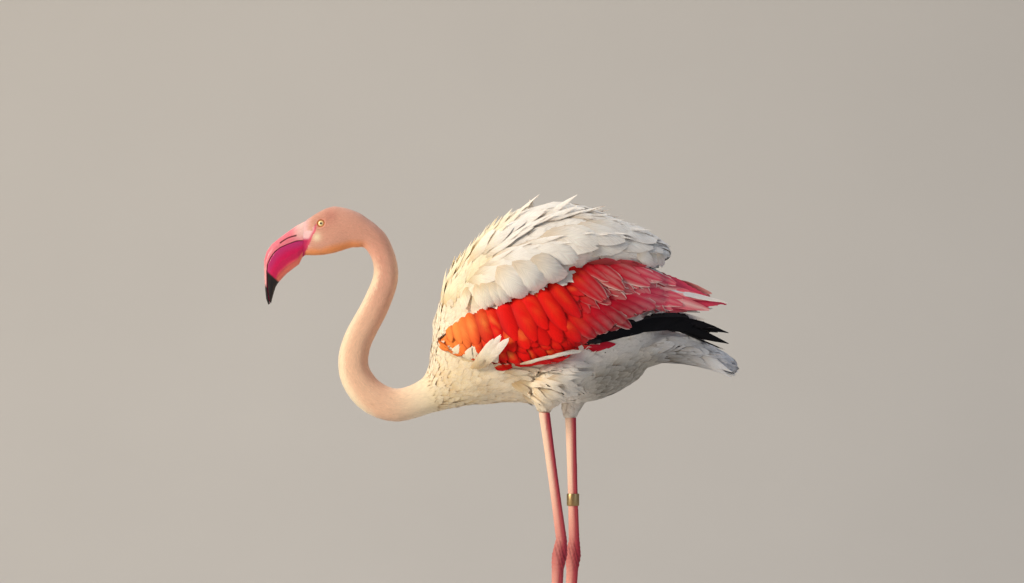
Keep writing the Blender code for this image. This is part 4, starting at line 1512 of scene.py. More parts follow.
    def comb(self, form: Surface, regions: dict[Region, Array]) -> None:
        """Lays the feathers' direction over the form: from bill to tail, and down the thighs.

        Args:
            form: The form's surface, which keeps the direction.
            regions: Each region's share at each point.
        """
        places = form.points
        source = places[:, 0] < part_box("bill_upper")[1].x - 0.004
        held, values = source.copy(), np.zeros(len(places))
        for region in (Region.TAIL, Region.TERTIALS, Region.PRIMARIES):
            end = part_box(region.value[0])[1].x
            sink = (places[:, 0] > end - 0.014) & (regions[region] > 0.4)
            held |= sink
            values[sink] = 1.0
        for side, sign in SIDES.items():
            low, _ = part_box(f"thigh_{side}")
            cuff = (places[:, 2] < low.z + 0.008) & (places[:, 1] * sign > 0) & (places[:, 0] > 0)
            held |= cuff
            values[cuff] = 0.95
        flow = form.steady_flow(held, values)
        lie = form.uphill(flow)
        loose = np.clip(regions[Region.SCAPULARS] + regions[Region.MANTLE], 0.0, 1.0)[:, None]
        climb = np.interp(places[:, 0], (-0.06, 0.05, 0.20), (0.9, 0.0, -0.45))
        swept = form.along(np.stack((np.ones(len(places)), -0.15 * np.sign(places[:, 1]), climb), axis=1))
        lie = lie * (1.0 - loose) + swept * loose
        backward = form.along(np.broadcast_to(np.array((1.0, 0.0, -0.1)), places.shape))
        lie[held & (places[:, 2] > 0.55)] = backward[held & (places[:, 2] > 0.55)]
        for _ in range(5):
            lie = form.along(form.relaxed(lie, 5))
        form.lie = lie

    def dress(self, piece: Object, form: Surface, regions: dict[Region, Array],
              marks: MarkingsAndPaintedLight) -> Array:
        """Turns the form's object into the skin under the coat.

        Args:
            piece: The form's object.
            form: Its surface.
            regions: Each region's share at each point.
            marks: The colours.

        Returns:
            The skin's unwrap, (faces, 4, 2).
        """
        depth = sum(regions[region] * self.DEPTHS[region] for region in Region)
        depth = form.relaxed(depth, 3)
        x, base = form.points[:, 0], marks.bill_base
        bare = marks.bare(form.points) * (1 - ramp(base, base - 0.003, x))
        collar = ramp(base - 0.005, base - 0.002, x) * ramp(base + 0.006, base + 0.001, x)
        depth = depth * (1 - np.maximum(bare, collar))
        set_points(piece.data, form.points - form.normals * depth[:, None])
        for region in marks.WING:
            add_field(piece.data, region.name, regions[region])
        unwrap_all(piece)
        flat = np.empty(len(piece.data.loops) * 2, np.float32)
        piece.data.uv_layers.active.data.foreach_get("uv", flat)
        unwrap = flat.reshape(-1, 2)[form.loops]
        self.refine_face(piece, marks)
        return unwrap

    def refine_face(self, piece: Object, marks: MarkingsAndPaintedLight) -> None:
        """Cuts the head finer and opens a socket for each eye.

        Args:
            piece: The skin.
            marks: The colours, which know the eye's place.
        """
        shape = bmesh.new()
        shape.from_mesh(piece.data)
        eye = Vector(marks.eye)
        for reach in (0.040, 0.012):
            edges = [edge for edge in shape.edges
                     if all(math.hypot(v.co.x - eye.x, v.co.z - eye.z) < reach for v in edge.verts)]
            bmesh.ops.subdivide_edges(shape, edges=edges, cuts=1, use_grid_fill=True)
        for _ in range(4):
            near = [v for v in shape.verts if math.hypot(v.co.x - eye.x, v.co.z - eye.z) < 0.036]
            bmesh.ops.smooth_vert(shape, verts=near, factor=0.5, use_axis_x=True, use_axis_y=True,
                                  use_axis_z=True)
        for vert in shape.verts:
            gap = math.hypot(vert.co.x - eye.x, (vert.co.z - eye.z) * 1.08)
            if gap < 0.011 and abs(vert.co.y) > 0.006:
                sink = float(ramp(self.lid_half + 0.0006, self.lid_half - 0.0012, np.array(gap)))
                rim = math.exp(-(((gap - 0.0062) / 0.0014) ** 2)) * 0.0008
                fold = math.exp(-(((gap - 0.0090) / 0.0009) ** 2)) * -0.0003
                outer = abs(vert.co.y) + rim + fold
                vert.co.y = math.copysign(outer * (1 - sink) + 0.0095 * sink, vert.co.y)
        shape.to_mesh(piece.data)
        shape.free()

    def build_legs(self, marks: MarkingsAndPaintedLight) -> list[Object]:
        """Builds the bare legs and feet with their tendons, folds and scutes.

        Args:
            marks: The colours.

        Returns:
            Both legs.
        """
        made = []
        for side in SIDES:
            nodes = [f"{part}_{side}" for part in self.LEG_PARTS]
            leg = merged_copy(f"leg_{side}", nodes, self.overlap / 2)
            shape = rounded(leg, self.leg_voxel, 4)
            points, normals = shape.points, shape.normals
            z = points[:, 2]
            hock_low, hock_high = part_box(f"hock_{side}")
            front = -normals[:, 0]
            shank = ramp(0.020, 0.040, z) * ramp(hock_low.z + 0.01, hock_low.z - 0.005, z)
            scutes = np.abs(np.sin(z / 0.0042 * math.pi)) ** 0.35
            rise = scutes * 0.00035 * shank * ramp(0.1, 0.7, front)
            joint = ramp(hock_low.z - 0.012, hock_low.z + 0.006, z)
            joint = joint * ramp(hock_high.z + 0.016, hock_high.z, z)
            rise += np.sin(z / 0.0031 * math.pi + np.sin(points[:, 0] * 420) * 0.8) * 0.00030 * joint
            middle = (hock_low + hock_high) / 2
            fold = points[:, 0] - middle.x + (z - middle.z) * 0.30
            folds = sum(np.exp(-(((fold - level) / 0.0011) ** 2)) for level in (-0.0035, 0.0015, 0.0060))
            folds *= np.exp(-(((z - middle.z) / 0.021) ** 4)) * ramp(-0.95, -0.6, -front)
            rise -= folds * 0.0007
            groove = np.exp(-((normals[:, 0] - 0.35) / 0.16) ** 2) * ramp(0.05, 0.09, z) * (1 - joint * 0.4)
            rise -= groove * 0.0007
            toes = ramp(0.019, 0.010, z) * ramp(0.2, 0.7, normals[:, 2])
            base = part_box(f"foot_{side}")
            out_from = np.hypot(points[:, 0] - base[1].x, points[:, 1] - (base[0].y + base[1].y) / 2)
            rise += np.abs(np.sin(out_from / 0.0036 * math.pi)) ** 0.4 * 0.00025 * toes
            shaped = points + normals * (rise - self.overlap / 2)[:, None]
            shaped[:, 2] = np.maximum(shaped[:, 2], base[0].z)
            set_points(leg.data, shaped)
            # The colour carries painted highlight and shade by which way each point faces.
            colour = marks.leg(points, front)
            edge = np.exp(-((scutes - 0.25) / 0.25) ** 2) * shank
            colour = blend(colour, marks.LEG_DEEP_AND_SHADE, edge * 0.25)
            # Painted shade in the hock's folds.
            colour = blend(colour, marks.CREASE_SHADE, np.clip(folds, 0.0, 1.0) * 0.6)
            set_tints(leg.data, colour)
            made.append(leg)
        return made

    def build_lids(self) -> list[Object]:
        """Builds the lids' thin rims.

        Returns:
            One for each eye.
        """
        made = []
        for side, sign in SIDES.items():
            low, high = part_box(f"eye_{side}")
            middle = (low + high) / 2
            bpy.ops.object.select_all(action="DESELECT")
            bpy.ops.mesh.primitive_torus_add(
                major_segments=40, minor_segments=10, major_radius=self.lid_half,
                minor_radius=self.lid_rim, location=(middle.x, middle.y + sign * 0.0037, middle.z),
                rotation=(math.pi / 2, 0.0, 0.0),
            )
            lid = bpy.context.object
            lid.name = f"lid_{side}"
            lid.scale = (1.0, 0.94, 1.0)
            bpy.ops.object.transform_apply(location=True, rotation=True, scale=True)
            set_tints(lid.data, np.tile(self.LID, (len(lid.data.vertices), 1)))
            made.append(lid)
        return made

    def finish(self, piece: Object, marks: MarkingsAndPaintedLight) -> None:
        """Colours the body's skin, joins legs and lids to it and dresses it.

        Args:
            piece: The body's skin.
            marks: The colours.
        """
        points = points_of(piece.data)
        facing = np.empty(len(points) * 3, np.float32)
        piece.data.vertex_normals.foreach_get("vector", facing)
        # Which way each point faces drives the painted highlight on the foreneck and the painted shade on
        # the nape.
        colour = marks.body(points, -facing[::3])
        for region in marks.WING:
            share = ramp(0.3, 0.7, take_field(piece.data, region.name))
            if region is Region.COVERTS:
                share = share * ramp(0.598, 0.608, points[:, 2])
            tint = marks.flight if region is Region.PRIMARIES else marks.coverts
            colour = blend(colour, tint(points), share)
        base = ramp(marks.bill_base + 0.001, marks.bill_base - 0.001, points[:, 0])
        bare = np.maximum(marks.bare(points), base * (points[:, 2] < marks.eye[2] - 0.004))
        set_tints(piece.data, blend(colour, marks.bare_skin(points), bare))
        extras = [*self.build_legs(marks), *self.build_lids()]
        for extra in extras:
            unwrap_all(extra)
        pick(piece, *extras)
        bpy.ops.object.join()
        scaly = np.ones(len(piece.data.vertices))
        scaly[: len(bare)] = bare
        add_field(piece.data, BARE, scaly)
        piece.data.shade_smooth()
        nodes = [node for region in (Region.HEAD, Region.NECK, Region.TRUNK) for node in region.value]
        nodes += [f"{part}_{side}" for part in self.LEG_PARTS for side in SIDES]
        wear(piece, SKIN, "leg_skin", *nodes)


# ---- plumage


ROUND = Cut(half=0.010, length=0.05, depth=0.004, lift=0.0015, cup=0.18, columns=5, stations=7,
            blunt=0.5, fray=0.0016, ruffle=0.07, shade=0.03, soft=0.6)
LONG = replace(ROUND, cup=0.22, lift=0.0015, depth=0.003, blunt=0.8, fray=0.0004, ruffle=0.03, end=0.12)
WISP = replace(ROUND, half=0.005, cup=0.35, blunt=1.1, fray=0.0003, free=0.55, lift=0.003, ruffle=0.05,
               end=0.08)
SPIKE = replace(WISP, free=0.3, lift=0.001)
LOBE = replace(ROUND, cup=0.48, lift=0.002, ruffle=0.06, shade=0.05, fray=0.0006, columns=7, stations=9)
PUFF = replace(ROUND, ridge=1.0, lift=0.0025, fray=0.0014, ruffle=0.10, cup=0.26, columns=9, stations=8,
               soft=0.55)
FLUFF = replace(ROUND, fray=0.0026, ruffle=0.18, lift=0.004, cup=0.3, columns=7)

COVERT_ROWS = (
    Row("wing_coverts", ((6, 26), (28, 36), (54, 48), (76, 62), (89, 72)), (-66, -64, -46, -26, -14), 20,
        (24, 40, 50, 70, 70), (8, 11, 12, 11, 10), LOBE),
    Row("wing_coverts", ((5.5, 36), (13, 48), (28, 63), (42, 80), (60, 95), (80, 95)),
        (-72, -72, -70, -60, -40, -20), 16, (24, 52, 68, 74, 70, 70), (7, 11, 12.5, 13, 12, 11), LOBE, 2),
    Row("wing_coverts", ((62, 97), (72, 100), (84, 94)), (-34, -26, -18), 5, (52, 66, 70), (10, 10, 9),
        LOBE, 3.5),
)
# Red feathers darkened to reddish brown under the scapulars: partly their own colour, partly painted shade.
SHADED_RED_ROWS = (
    Row("wing_coverts", ((67, 99), (74, 98), (81, 96)), (8, 4, 0), 5, (36, 38, 34), (5, 5.5, 5), LONG, 8),
)
SCAPULAR_ROWS = (
    Row("scapulars", ((3.7, 16), (19, 29), (36, 41), (60, 60), (86, 64)), (-70, -52, -30, -12, -10), 14,
        (32, 44, 60, 70, 50), (11, 17, 19, 13, 10), PUFF),
    Row("scapulars", ((2, 25), (15.5, 47), (36, 66), (60, 78), (80, 72)), (10, -6, -6, -8, -16), 15,
        (50, 66, 80, 80, 58), (12, 17, 18, 14, 11), PUFF, 2),
    Row("scapulars", ((4, 41), (15.5, 66), (29, 82), (49, 87), (74, 80)), (44, 30, 18, 2, -14), 18,
        (60, 74, 84, 84, 64), (9, 12, 13, 12, 10), PUFF, 4),
    Row("scapulars", ((17, 38), (24, 43), (31, 46)), (-44, -40, -30), 3, (50, 60, 62), (18, 23, 19),
        replace(PUFF, lift=0.006, cup=0.42), 4, 0.4),
    Row("scapulars", ((3, 20), (10, 24), (17, 27)), (-84, -66, -60), 5, (28, 32, 34), (8, 10, 10),
        replace(PUFF, lift=0.005, cup=0.5), 3),
    Row("scapulars", ((83, 54), (89, 52), (93, 51)), (-58, -70, -80), 5, (28, 28, 24), (9, 9, 8), PUFF, 3),
    Row("scapulars", ((8, 42), (22, 66), (40, 82), (66, 82)), (36, 24, 9, -10), 20, (62, 74, 80, 66),
        (4.5, 5, 5, 4.5), replace(WISP, free=0.7, ridge=0.7, cup=0.4, lift=0.002, ruffle=0.07), 4),
    Row("scapulars", ((8, 36), (26, 56), (44, 68), (66, 74)), (16, 8, -2, -10), 14, (60, 70, 80, 70),
        (4, 4.5, 4.5, 4), replace(WISP, free=0.7, ridge=0.7, cup=0.4, lift=0.002, ruffle=0.09), 4),
    Row("scapulars", ((34.1, 75.9), (37.5, 75.9)), (32, 25), 2, (74, 57), (4.5, 4.5), SPIKE, 1, 0.0),
    Row("scapulars", ((42.6, 80.3), (64.5, 75.9)), (14, -7), 2, (72, 75.5), (4, 4.5), SPIKE, 1, 0.0),
)
MANTLE_ROWS = (
    Row("mantle", ((7, 3), (24, 23), (41, 41), (62, 62)), (66, 56, 48, 38), 16, (55, 62, 66, 62),
        (9, 9, 9, 8), replace(WISP, free=0.95, cup=0.25)),
    Row("mantle", ((2, 8), (14, 32), (31, 50), (44, 62)), (76, 60, 50, 42), 18, (45, 55, 62, 60),
        (6, 6, 6, 5), replace(WISP, free=0.8, cup=0.3), 2),
    Row("mantle", ((42, 53.2), (54.3, 65.2), (62.5, 74.6)), (44, 44, 38), 3, (62, 64, 70), (3.6, 3.8, 4.2),
        SPIKE, 2, 0.0),
)
TERTIAL_ROWS = (
    Row("tertials", ((2, 16), (2, 34), (4, 52), (4, 70)), (-6, -10, -13, -15), 6, (112, 118, 124, 118),
        (10, 10, 10, 9), replace(LONG, free=0.92)),
    Row("tertials", ((36, 46), (40, 30)), (-13, -10), 2, (78, 66), (6, 6), replace(LONG, free=0.8), 2,
        0.3),
)
PALE_TERTIAL_ROWS = (
    Row("tertials", ((6, 6), (10, 10)), (-4, -6), 2, (100, 110), (7, 6), replace(LONG, free=0.9)),
    Row("tertials", ((30, 50), (34, 47)), (-13, -12), 2, (109, 98), (4.2, 3.8), SPIKE, 3, 0.0),
)
CRIMSON_ROWS = (
    Row("tertials", ((27, 66), (29, 60)), (-15, -16), 2, (92, 86), (7.8, 7),
        replace(LONG, cup=0.4, free=0.7), 4, 0.2),
)
PRIMARY_ROWS = (
    Row("primaries", ((2, 18), (25, 50), (44, 70), (62, 76)), (16, 11, 0, -12), 11, (85, 92, 85, 70),
        (6, 9, 9, 8), replace(LONG, free=0.9, cup=0.12)),
    Row("primaries", ((60.8, 88.7), (60.8, 70.4), (60.8, 54)), (-16, -19, -20), 3, (86, 87.5, 82),
        (5.5, 5.5, 5), SPIKE, 1, 0.0),
)
TAIL_ROWS = (
    Row("tail", ((20, 22), (24, 52), (28, 85)), (-10, -18, -25), 9, (106, 108, 104), (10, 9, 8),
        replace(LONG, free=0.8, fray=0.001, blunt=0.95)),
    Row("tail", ((45, 30), (50, 60)), (-14, -24), 4, (80, 74), (6, 6), replace(SPIKE, free=0.6), 1),
)
FLANK_ROWS = (
    Row("trunk", ((10, 27), (23, 23), (41, 21.5), (62, 27)), (60, 48, 16, 8), 18, (30, 38, 40, 44),
        (7, 9, 9, 9), FLUFF),
    Row("trunk", ((20.5, 24.5), (22.5, 25)), (56, 46), 3, (54, 62), (6.2, 7),
        replace(FLUFF, cup=0.4, fray=0.0018), 10, 0.4),
    Row("trunk", ((40, 27.5), (50, 30), (56, 32.5)), (12, 16, 16), 5, (36, 40, 42), (2.8, 3.2, 2.8),
        replace(LONG, cup=0.5), 9, 0.5),
    Row("trunk", ((34, 22), (46, 23.5), (58, 26)), (-10, -6, 4), 16, (34, 38, 36), (4.5, 5, 4.5), FLUFF,
        4),
    Row("trunk", ((36, 16), (48, 18), (60, 20)), (-22, -12, -2), 18, (34, 38, 36), (4, 4.5, 4), FLUFF, 3),
    Row("trunk", ((40, 11), (50, 13), (60, 15)), (-40, -24, -8), 18, (26, 32, 34), (3.4, 4, 3.8), FLUFF,
        2),
)
AXILLARY_ROWS = (
    Row("trunk", ((60, 32.5), (66, 34.5)), (10, 6), 3, (45, 48), (6, 6), LONG),
    Row("trunk", ((38, 26.2), (46, 27.2), (52, 29)), (8, 10, 14), 5, (36, 40, 40), (5, 5, 5), LONG, 6,
        0.5),
)


@dataclass
class Plumage:
    """The whole coat of feathers.

    Attributes:
        coat: What grows them.
        regions: Each region's share at each point of the coat's surface.
        marks: The colours.
    """

    coat: Coat
    regions: dict[Region, Array]
    marks: MarkingsAndPaintedLight

    ROOT_SHADE = np.array((0.26, 0.36, 0.46))

    def build(self) -> None:
        """Grows every feather."""
        self.short_down()
        self.contour()
        self.top()
        self.wing()
        self.tail()

    def tinted(self, base: Callable, tip: Array, tip_share: float, shaft: Array | None = None,
               shaft_share: float = 0.0, root_shade: Array | float = 0.0) -> Callable:
        """Makes a feather's colour function.

        Args:
            base: The colour by place.
            tip: The colour that it goes over to at its tip and edges.
            tip_share: How far it does.
            shaft: The colour along its shaft, or None.
            shaft_share: How strong that is.
            root_shade: How much darker it is towards its root, for red, green and blue.

        Returns:
            A function from places, shares along and places across to colours.
        """

        def tint(points: Array, share: Array, across: Array) -> Array:
            """Colours a feather.

            Args:
                points: Places.
                share: How far along the feather each lies.
                across: How far from the shaft, -1 to 1.

            Returns:
                Linear colours.
            """
            edge = np.abs(across)
            colour = blend(base(points), tip, np.clip(share**3 + edge**3 * 0.4, 0, 1) * tip_share)
            colour = colour * (1.0 - root_shade * (1.0 - ramp(0.1, 0.65, share))[..., None])
            if shaft is not None:
                colour = blend(colour, shaft, (1 - edge) ** 3 * shaft_share * ramp(0.05, 0.5, share))
            return colour

        return tint

    def plain(self, colour: Array) -> Callable:
        """A colour by place that is the same everywhere."""
        return lambda places: np.broadcast_to(colour, places.shape)

    def short_down(self) -> None:
        """The velvet of head and neck."""
        marks, form = self.marks, self.coat.surface
        head = self.regions[Region.HEAD] * (marks.bare(form.points) < 0.35)
        head = head * (form.points[:, 0] > marks.bill_base + 0.0015)
        head = head * (marks.from_eye(form.points) > 0.0085)
        tint = self.tinted(marks.body, marks.BREAST, 0.12)
        cut = Cut(half=0.00095, length=0.0062, depth=0.0006, lift=0.0001, cup=0.3, stations=4,
                  fray=0.0005, ruffle=0.12, shade=0.03, soft=0.85, thickness=0.00016)
        roots = self.coat.roots(head, 0.00108)
        face = ramp(0.004, 0.022, marks.from_eye(roots)) * 0.5 + 0.5
        grown = self.coat.grow(roots, cut, tint, sizes=face)
        wear(feather_piece("down_head", [grown]), DOWN, "blush_feather")
        LOG.info("head down: %d feathers", len(roots))
        cut = Cut(half=0.0016, length=0.0115, depth=0.0009, lift=0.0002, cup=0.28, stations=4,
                  fray=0.0009, ruffle=0.15, shade=0.035, soft=0.85, thickness=0.0002)
        roots = self.coat.roots(self.regions[Region.NECK], 0.00165)
        middle = np.median(roots[:, 2])
        for name, part in (("upper", roots[:, 2] >= middle), ("lower", roots[:, 2] < middle)):
            places, hits = form.snap(roots[part])
            # Which way each root faces, for the painted highlight and shade on the neck.
            front = -form.at(form.normals, hits, places)[:, 0][:, None, None]
            tint = self.tinted(lambda points: marks.body(points, front), marks.BREAST, 0.12)
            grown = self.coat.grow(roots[part], cut, tint)
            wear(feather_piece(f"down_neck_{name}", [grown]), DOWN, "blush_feather")
        LOG.info("neck down: %d feathers", len(roots))

    def both_sides(self, roots: Array) -> list[tuple[str, float, Array]]:
        """Each side's name, sign and roots."""
        return [(side, sign, roots[roots[:, 1] * sign > 0]) for side, sign in SIDES.items()]

    def rows(self, rows: tuple[Row, ...], side: str, tint: Callable) -> list[Blades]:
        """Lays rows on one side.

        Args:
            rows: The rows, in which a node that comes in pairs is named without its side.
            side: Which side.
            tint: Their colours.

        Returns:
            The feathers of each row.
        """
        grown = []
        for row in rows:
            node = row.node if row.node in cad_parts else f"{row.node}_{side}"
            grown.append(self.coat.row(replace(row, node=node), SIDES[side], tint))
        return grown

    def contour(self) -> None:
        """The white feathers of breast, belly, flanks and thighs."""
        marks = self.marks
        tint = self.tinted(marks.body, marks.WHITE, 0.35, root_shade=self.ROOT_SHADE)
        cut = replace(ROUND, half=0.0062, length=0.031, depth=0.0026, lift=0.0003, cup=0.13, stations=6,
                      fray=0.0014, ruffle=0.13, shade=0.03, soft=0.75)
        small = np.minimum(*self.loosening(self.coat.surface.points)) < 0.8
        roots = np.concatenate((self.coat.roots(self.regions[Region.TRUNK], 0.0062),
                                self.coat.roots(self.regions[Region.TRUNK] * small, 0.0056)))
        red = self.tinted(marks.coverts, marks.ROSE, 0.2)
        for side, _, places in self.both_sides(roots):
            sizes = np.minimum(*self.loosening(places)) * 0.45 + 0.55
            grown = [self.coat.grow(places, cut, tint, sizes=sizes), *self.rows(FLANK_ROWS, side, tint)]
            wear(feather_piece(f"contour_{side}", grown), PLUMAGE, "white_feather")
            axillary = self.rows(AXILLARY_ROWS, side, red)
            wear(feather_piece(f"axillary_{side}", axillary), SATIN, "red_feather")
        LOG.info("contour feathers: %d", len(roots))

    def loosening(self, places: Array) -> tuple[Array, Array]:
        """How far the coat has grown longer away from the neck, and from the knees, 0 to 1."""
        foot, knee = self.marks.neck_foot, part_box("thigh_left")[0].z
        return ramp(foot - 0.01, foot + 0.05, places[:, 0]), ramp(knee - 0.01, knee + 0.05, places[:, 2])

    def top(self) -> None:
        """The mantle's collar and the scapulars."""
        marks = self.marks
        cut = replace(ROUND, half=0.0088, length=0.046, stations=6, cup=0.12, fray=0.0009, soft=0.75,
                      lift=0.0008)
        tint = self.tinted(marks.mantle, marks.WHITE, 0.3, root_shade=self.ROOT_SHADE)
        roots = self.coat.roots(self.regions[Region.MANTLE], 0.0085)
        slim = replace(cut, half=0.006, blunt=0.9)
        grown = [self.coat.grow(roots, slim, tint)]
        for side in SIDES:
            grown += self.rows(MANTLE_ROWS, side, tint)
        wear(feather_piece("mantle_plumes", grown), PLUMAGE, "white_feather", "mantle")
        tint = self.tinted(marks.body, marks.WHITE, 0.4, root_shade=self.ROOT_SHADE)
        roots = self.coat.roots(self.regions[Region.SCAPULARS], 0.0095)
        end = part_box("scapulars_left")[1].x
        for side, _, places in self.both_sides(roots):
            sizes = np.interp(places[:, 0], (end - 0.060, end - 0.015), (1.0, 0.38))
            grown = [self.coat.grow(places, cut, tint, sizes=sizes), *self.rows(SCAPULAR_ROWS, side, tint)]
            plumes = feather_piece(f"scapular_plumes_{side}", grown)
            wear(plumes, PLUMAGE, "white_feather", f"scapulars_{side}")
        LOG.info("mantle and scapular plumes: %d", len(roots))

    def wing(self) -> None:
        """The red coverts, the pink tertials and the black flight feathers."""
        marks = self.marks
        cut = replace(ROUND, half=0.008, length=0.032, stations=6, cup=0.15)
        rose = self.tinted(marks.coverts, marks.WHITE, 0.2, marks.WHITE, 0.5)
        pale = self.tinted(self.plain(marks.GREY_AND_COOL_SHADE), marks.WHITE, 0.8)
        crimson = self.tinted(self.plain(marks.CRIMSON), marks.WHITE, 0.35)
        # Reddish brown, partly painted shade.
        shaded_red = self.tinted(self.plain(marks.RED_BROWN_AND_SHADE), marks.ROSE, 0.4)
        black = self.tinted(marks.flight, marks.BLACK, 0.2)
        roots = self.coat.roots(self.regions[Region.COVERTS] * self.inner(Region.COVERTS), 0.0095)
        for side, sign, places in self.both_sides(roots):
            turn = np.interp(places[:, 0], (0.02, 0.12, 0.20), (1.1, 0.6, 0.2)) * sign
            grown = [self.coat.grow(places, cut, marks.lobes, turn=turn)]
            grown += self.rows(COVERT_ROWS, side, marks.lobes) + self.rows(SHADED_RED_ROWS, side, shaded_red)
            coverts = feather_piece(f"covert_feathers_{side}", grown)
            wear(coverts, SATIN, "red_feather", f"wing_coverts_{side}")
            grown = self.rows(TERTIAL_ROWS, side, rose) + self.rows(CRIMSON_ROWS, side, crimson)
            grown += self.rows(PALE_TERTIAL_ROWS, side, pale)
            tertials = feather_piece(f"tertial_feathers_{side}", grown)
            wear(tertials, SATIN, "pink_feather", f"tertials_{side}")
            grown = self.rows(PRIMARY_ROWS, side, black)
            primaries = feather_piece(f"primary_feathers_{side}", grown)
            wear(primaries, JET, "black_feather", f"primaries_{side}")
        LOG.info("coverts: %d", len(roots))

    def inner(self, region: Region) -> Array:
        """One over a region and zero along its rim."""
        return (self.coat.surface.relaxed(self.regions[region], 5) > 0.75).astype(float)

    def tail(self) -> None:
        """The tail and its coverts."""
        marks = self.marks
        # Tips go cool grey: partly their own colour, partly painted shade.
        tint = self.tinted(marks.body, marks.GREY_AND_COOL_SHADE, 0.5, root_shade=self.ROOT_SHADE)
        cut = replace(ROUND, half=0.0075, length=0.042, stations=6, cup=0.12, depth=0.003)
        roots = self.coat.roots(self.regions[Region.TAIL], 0.009)
        grown = [self.coat.grow(roots, cut, tint)]
        for side in SIDES:
            grown += self.rows(TAIL_ROWS, side, tint)
        wear(feather_piece("tail_feathers", grown), PLUMAGE, "white_feather", "tail")
        LOG.info("tail feathers: %d", len(roots))


# ---- bill and eyes


HORN = Finish("bill_horn", roughness=0.34, specular=0.45, subsurface=0.08, coat=0.15, mottle=0.10,
              grain=420.0, relief=0.0001)
CLAW = Finish("dark_claw", colour=(0.02, 0.017, 0.016), roughness=0.38, specular=0.45, grain=700.0)
EYE = Finish("eye", roughness=0.08, specular=0.55, coat=1.0, mottle=0.03, relief=0.0)
METAL = Finish("aged_ring", colour=(0.44, 0.31, 0.15), roughness=0.36, metallic=1.0, mottle=0.10,
               grain=500.0, relief=0.00005)


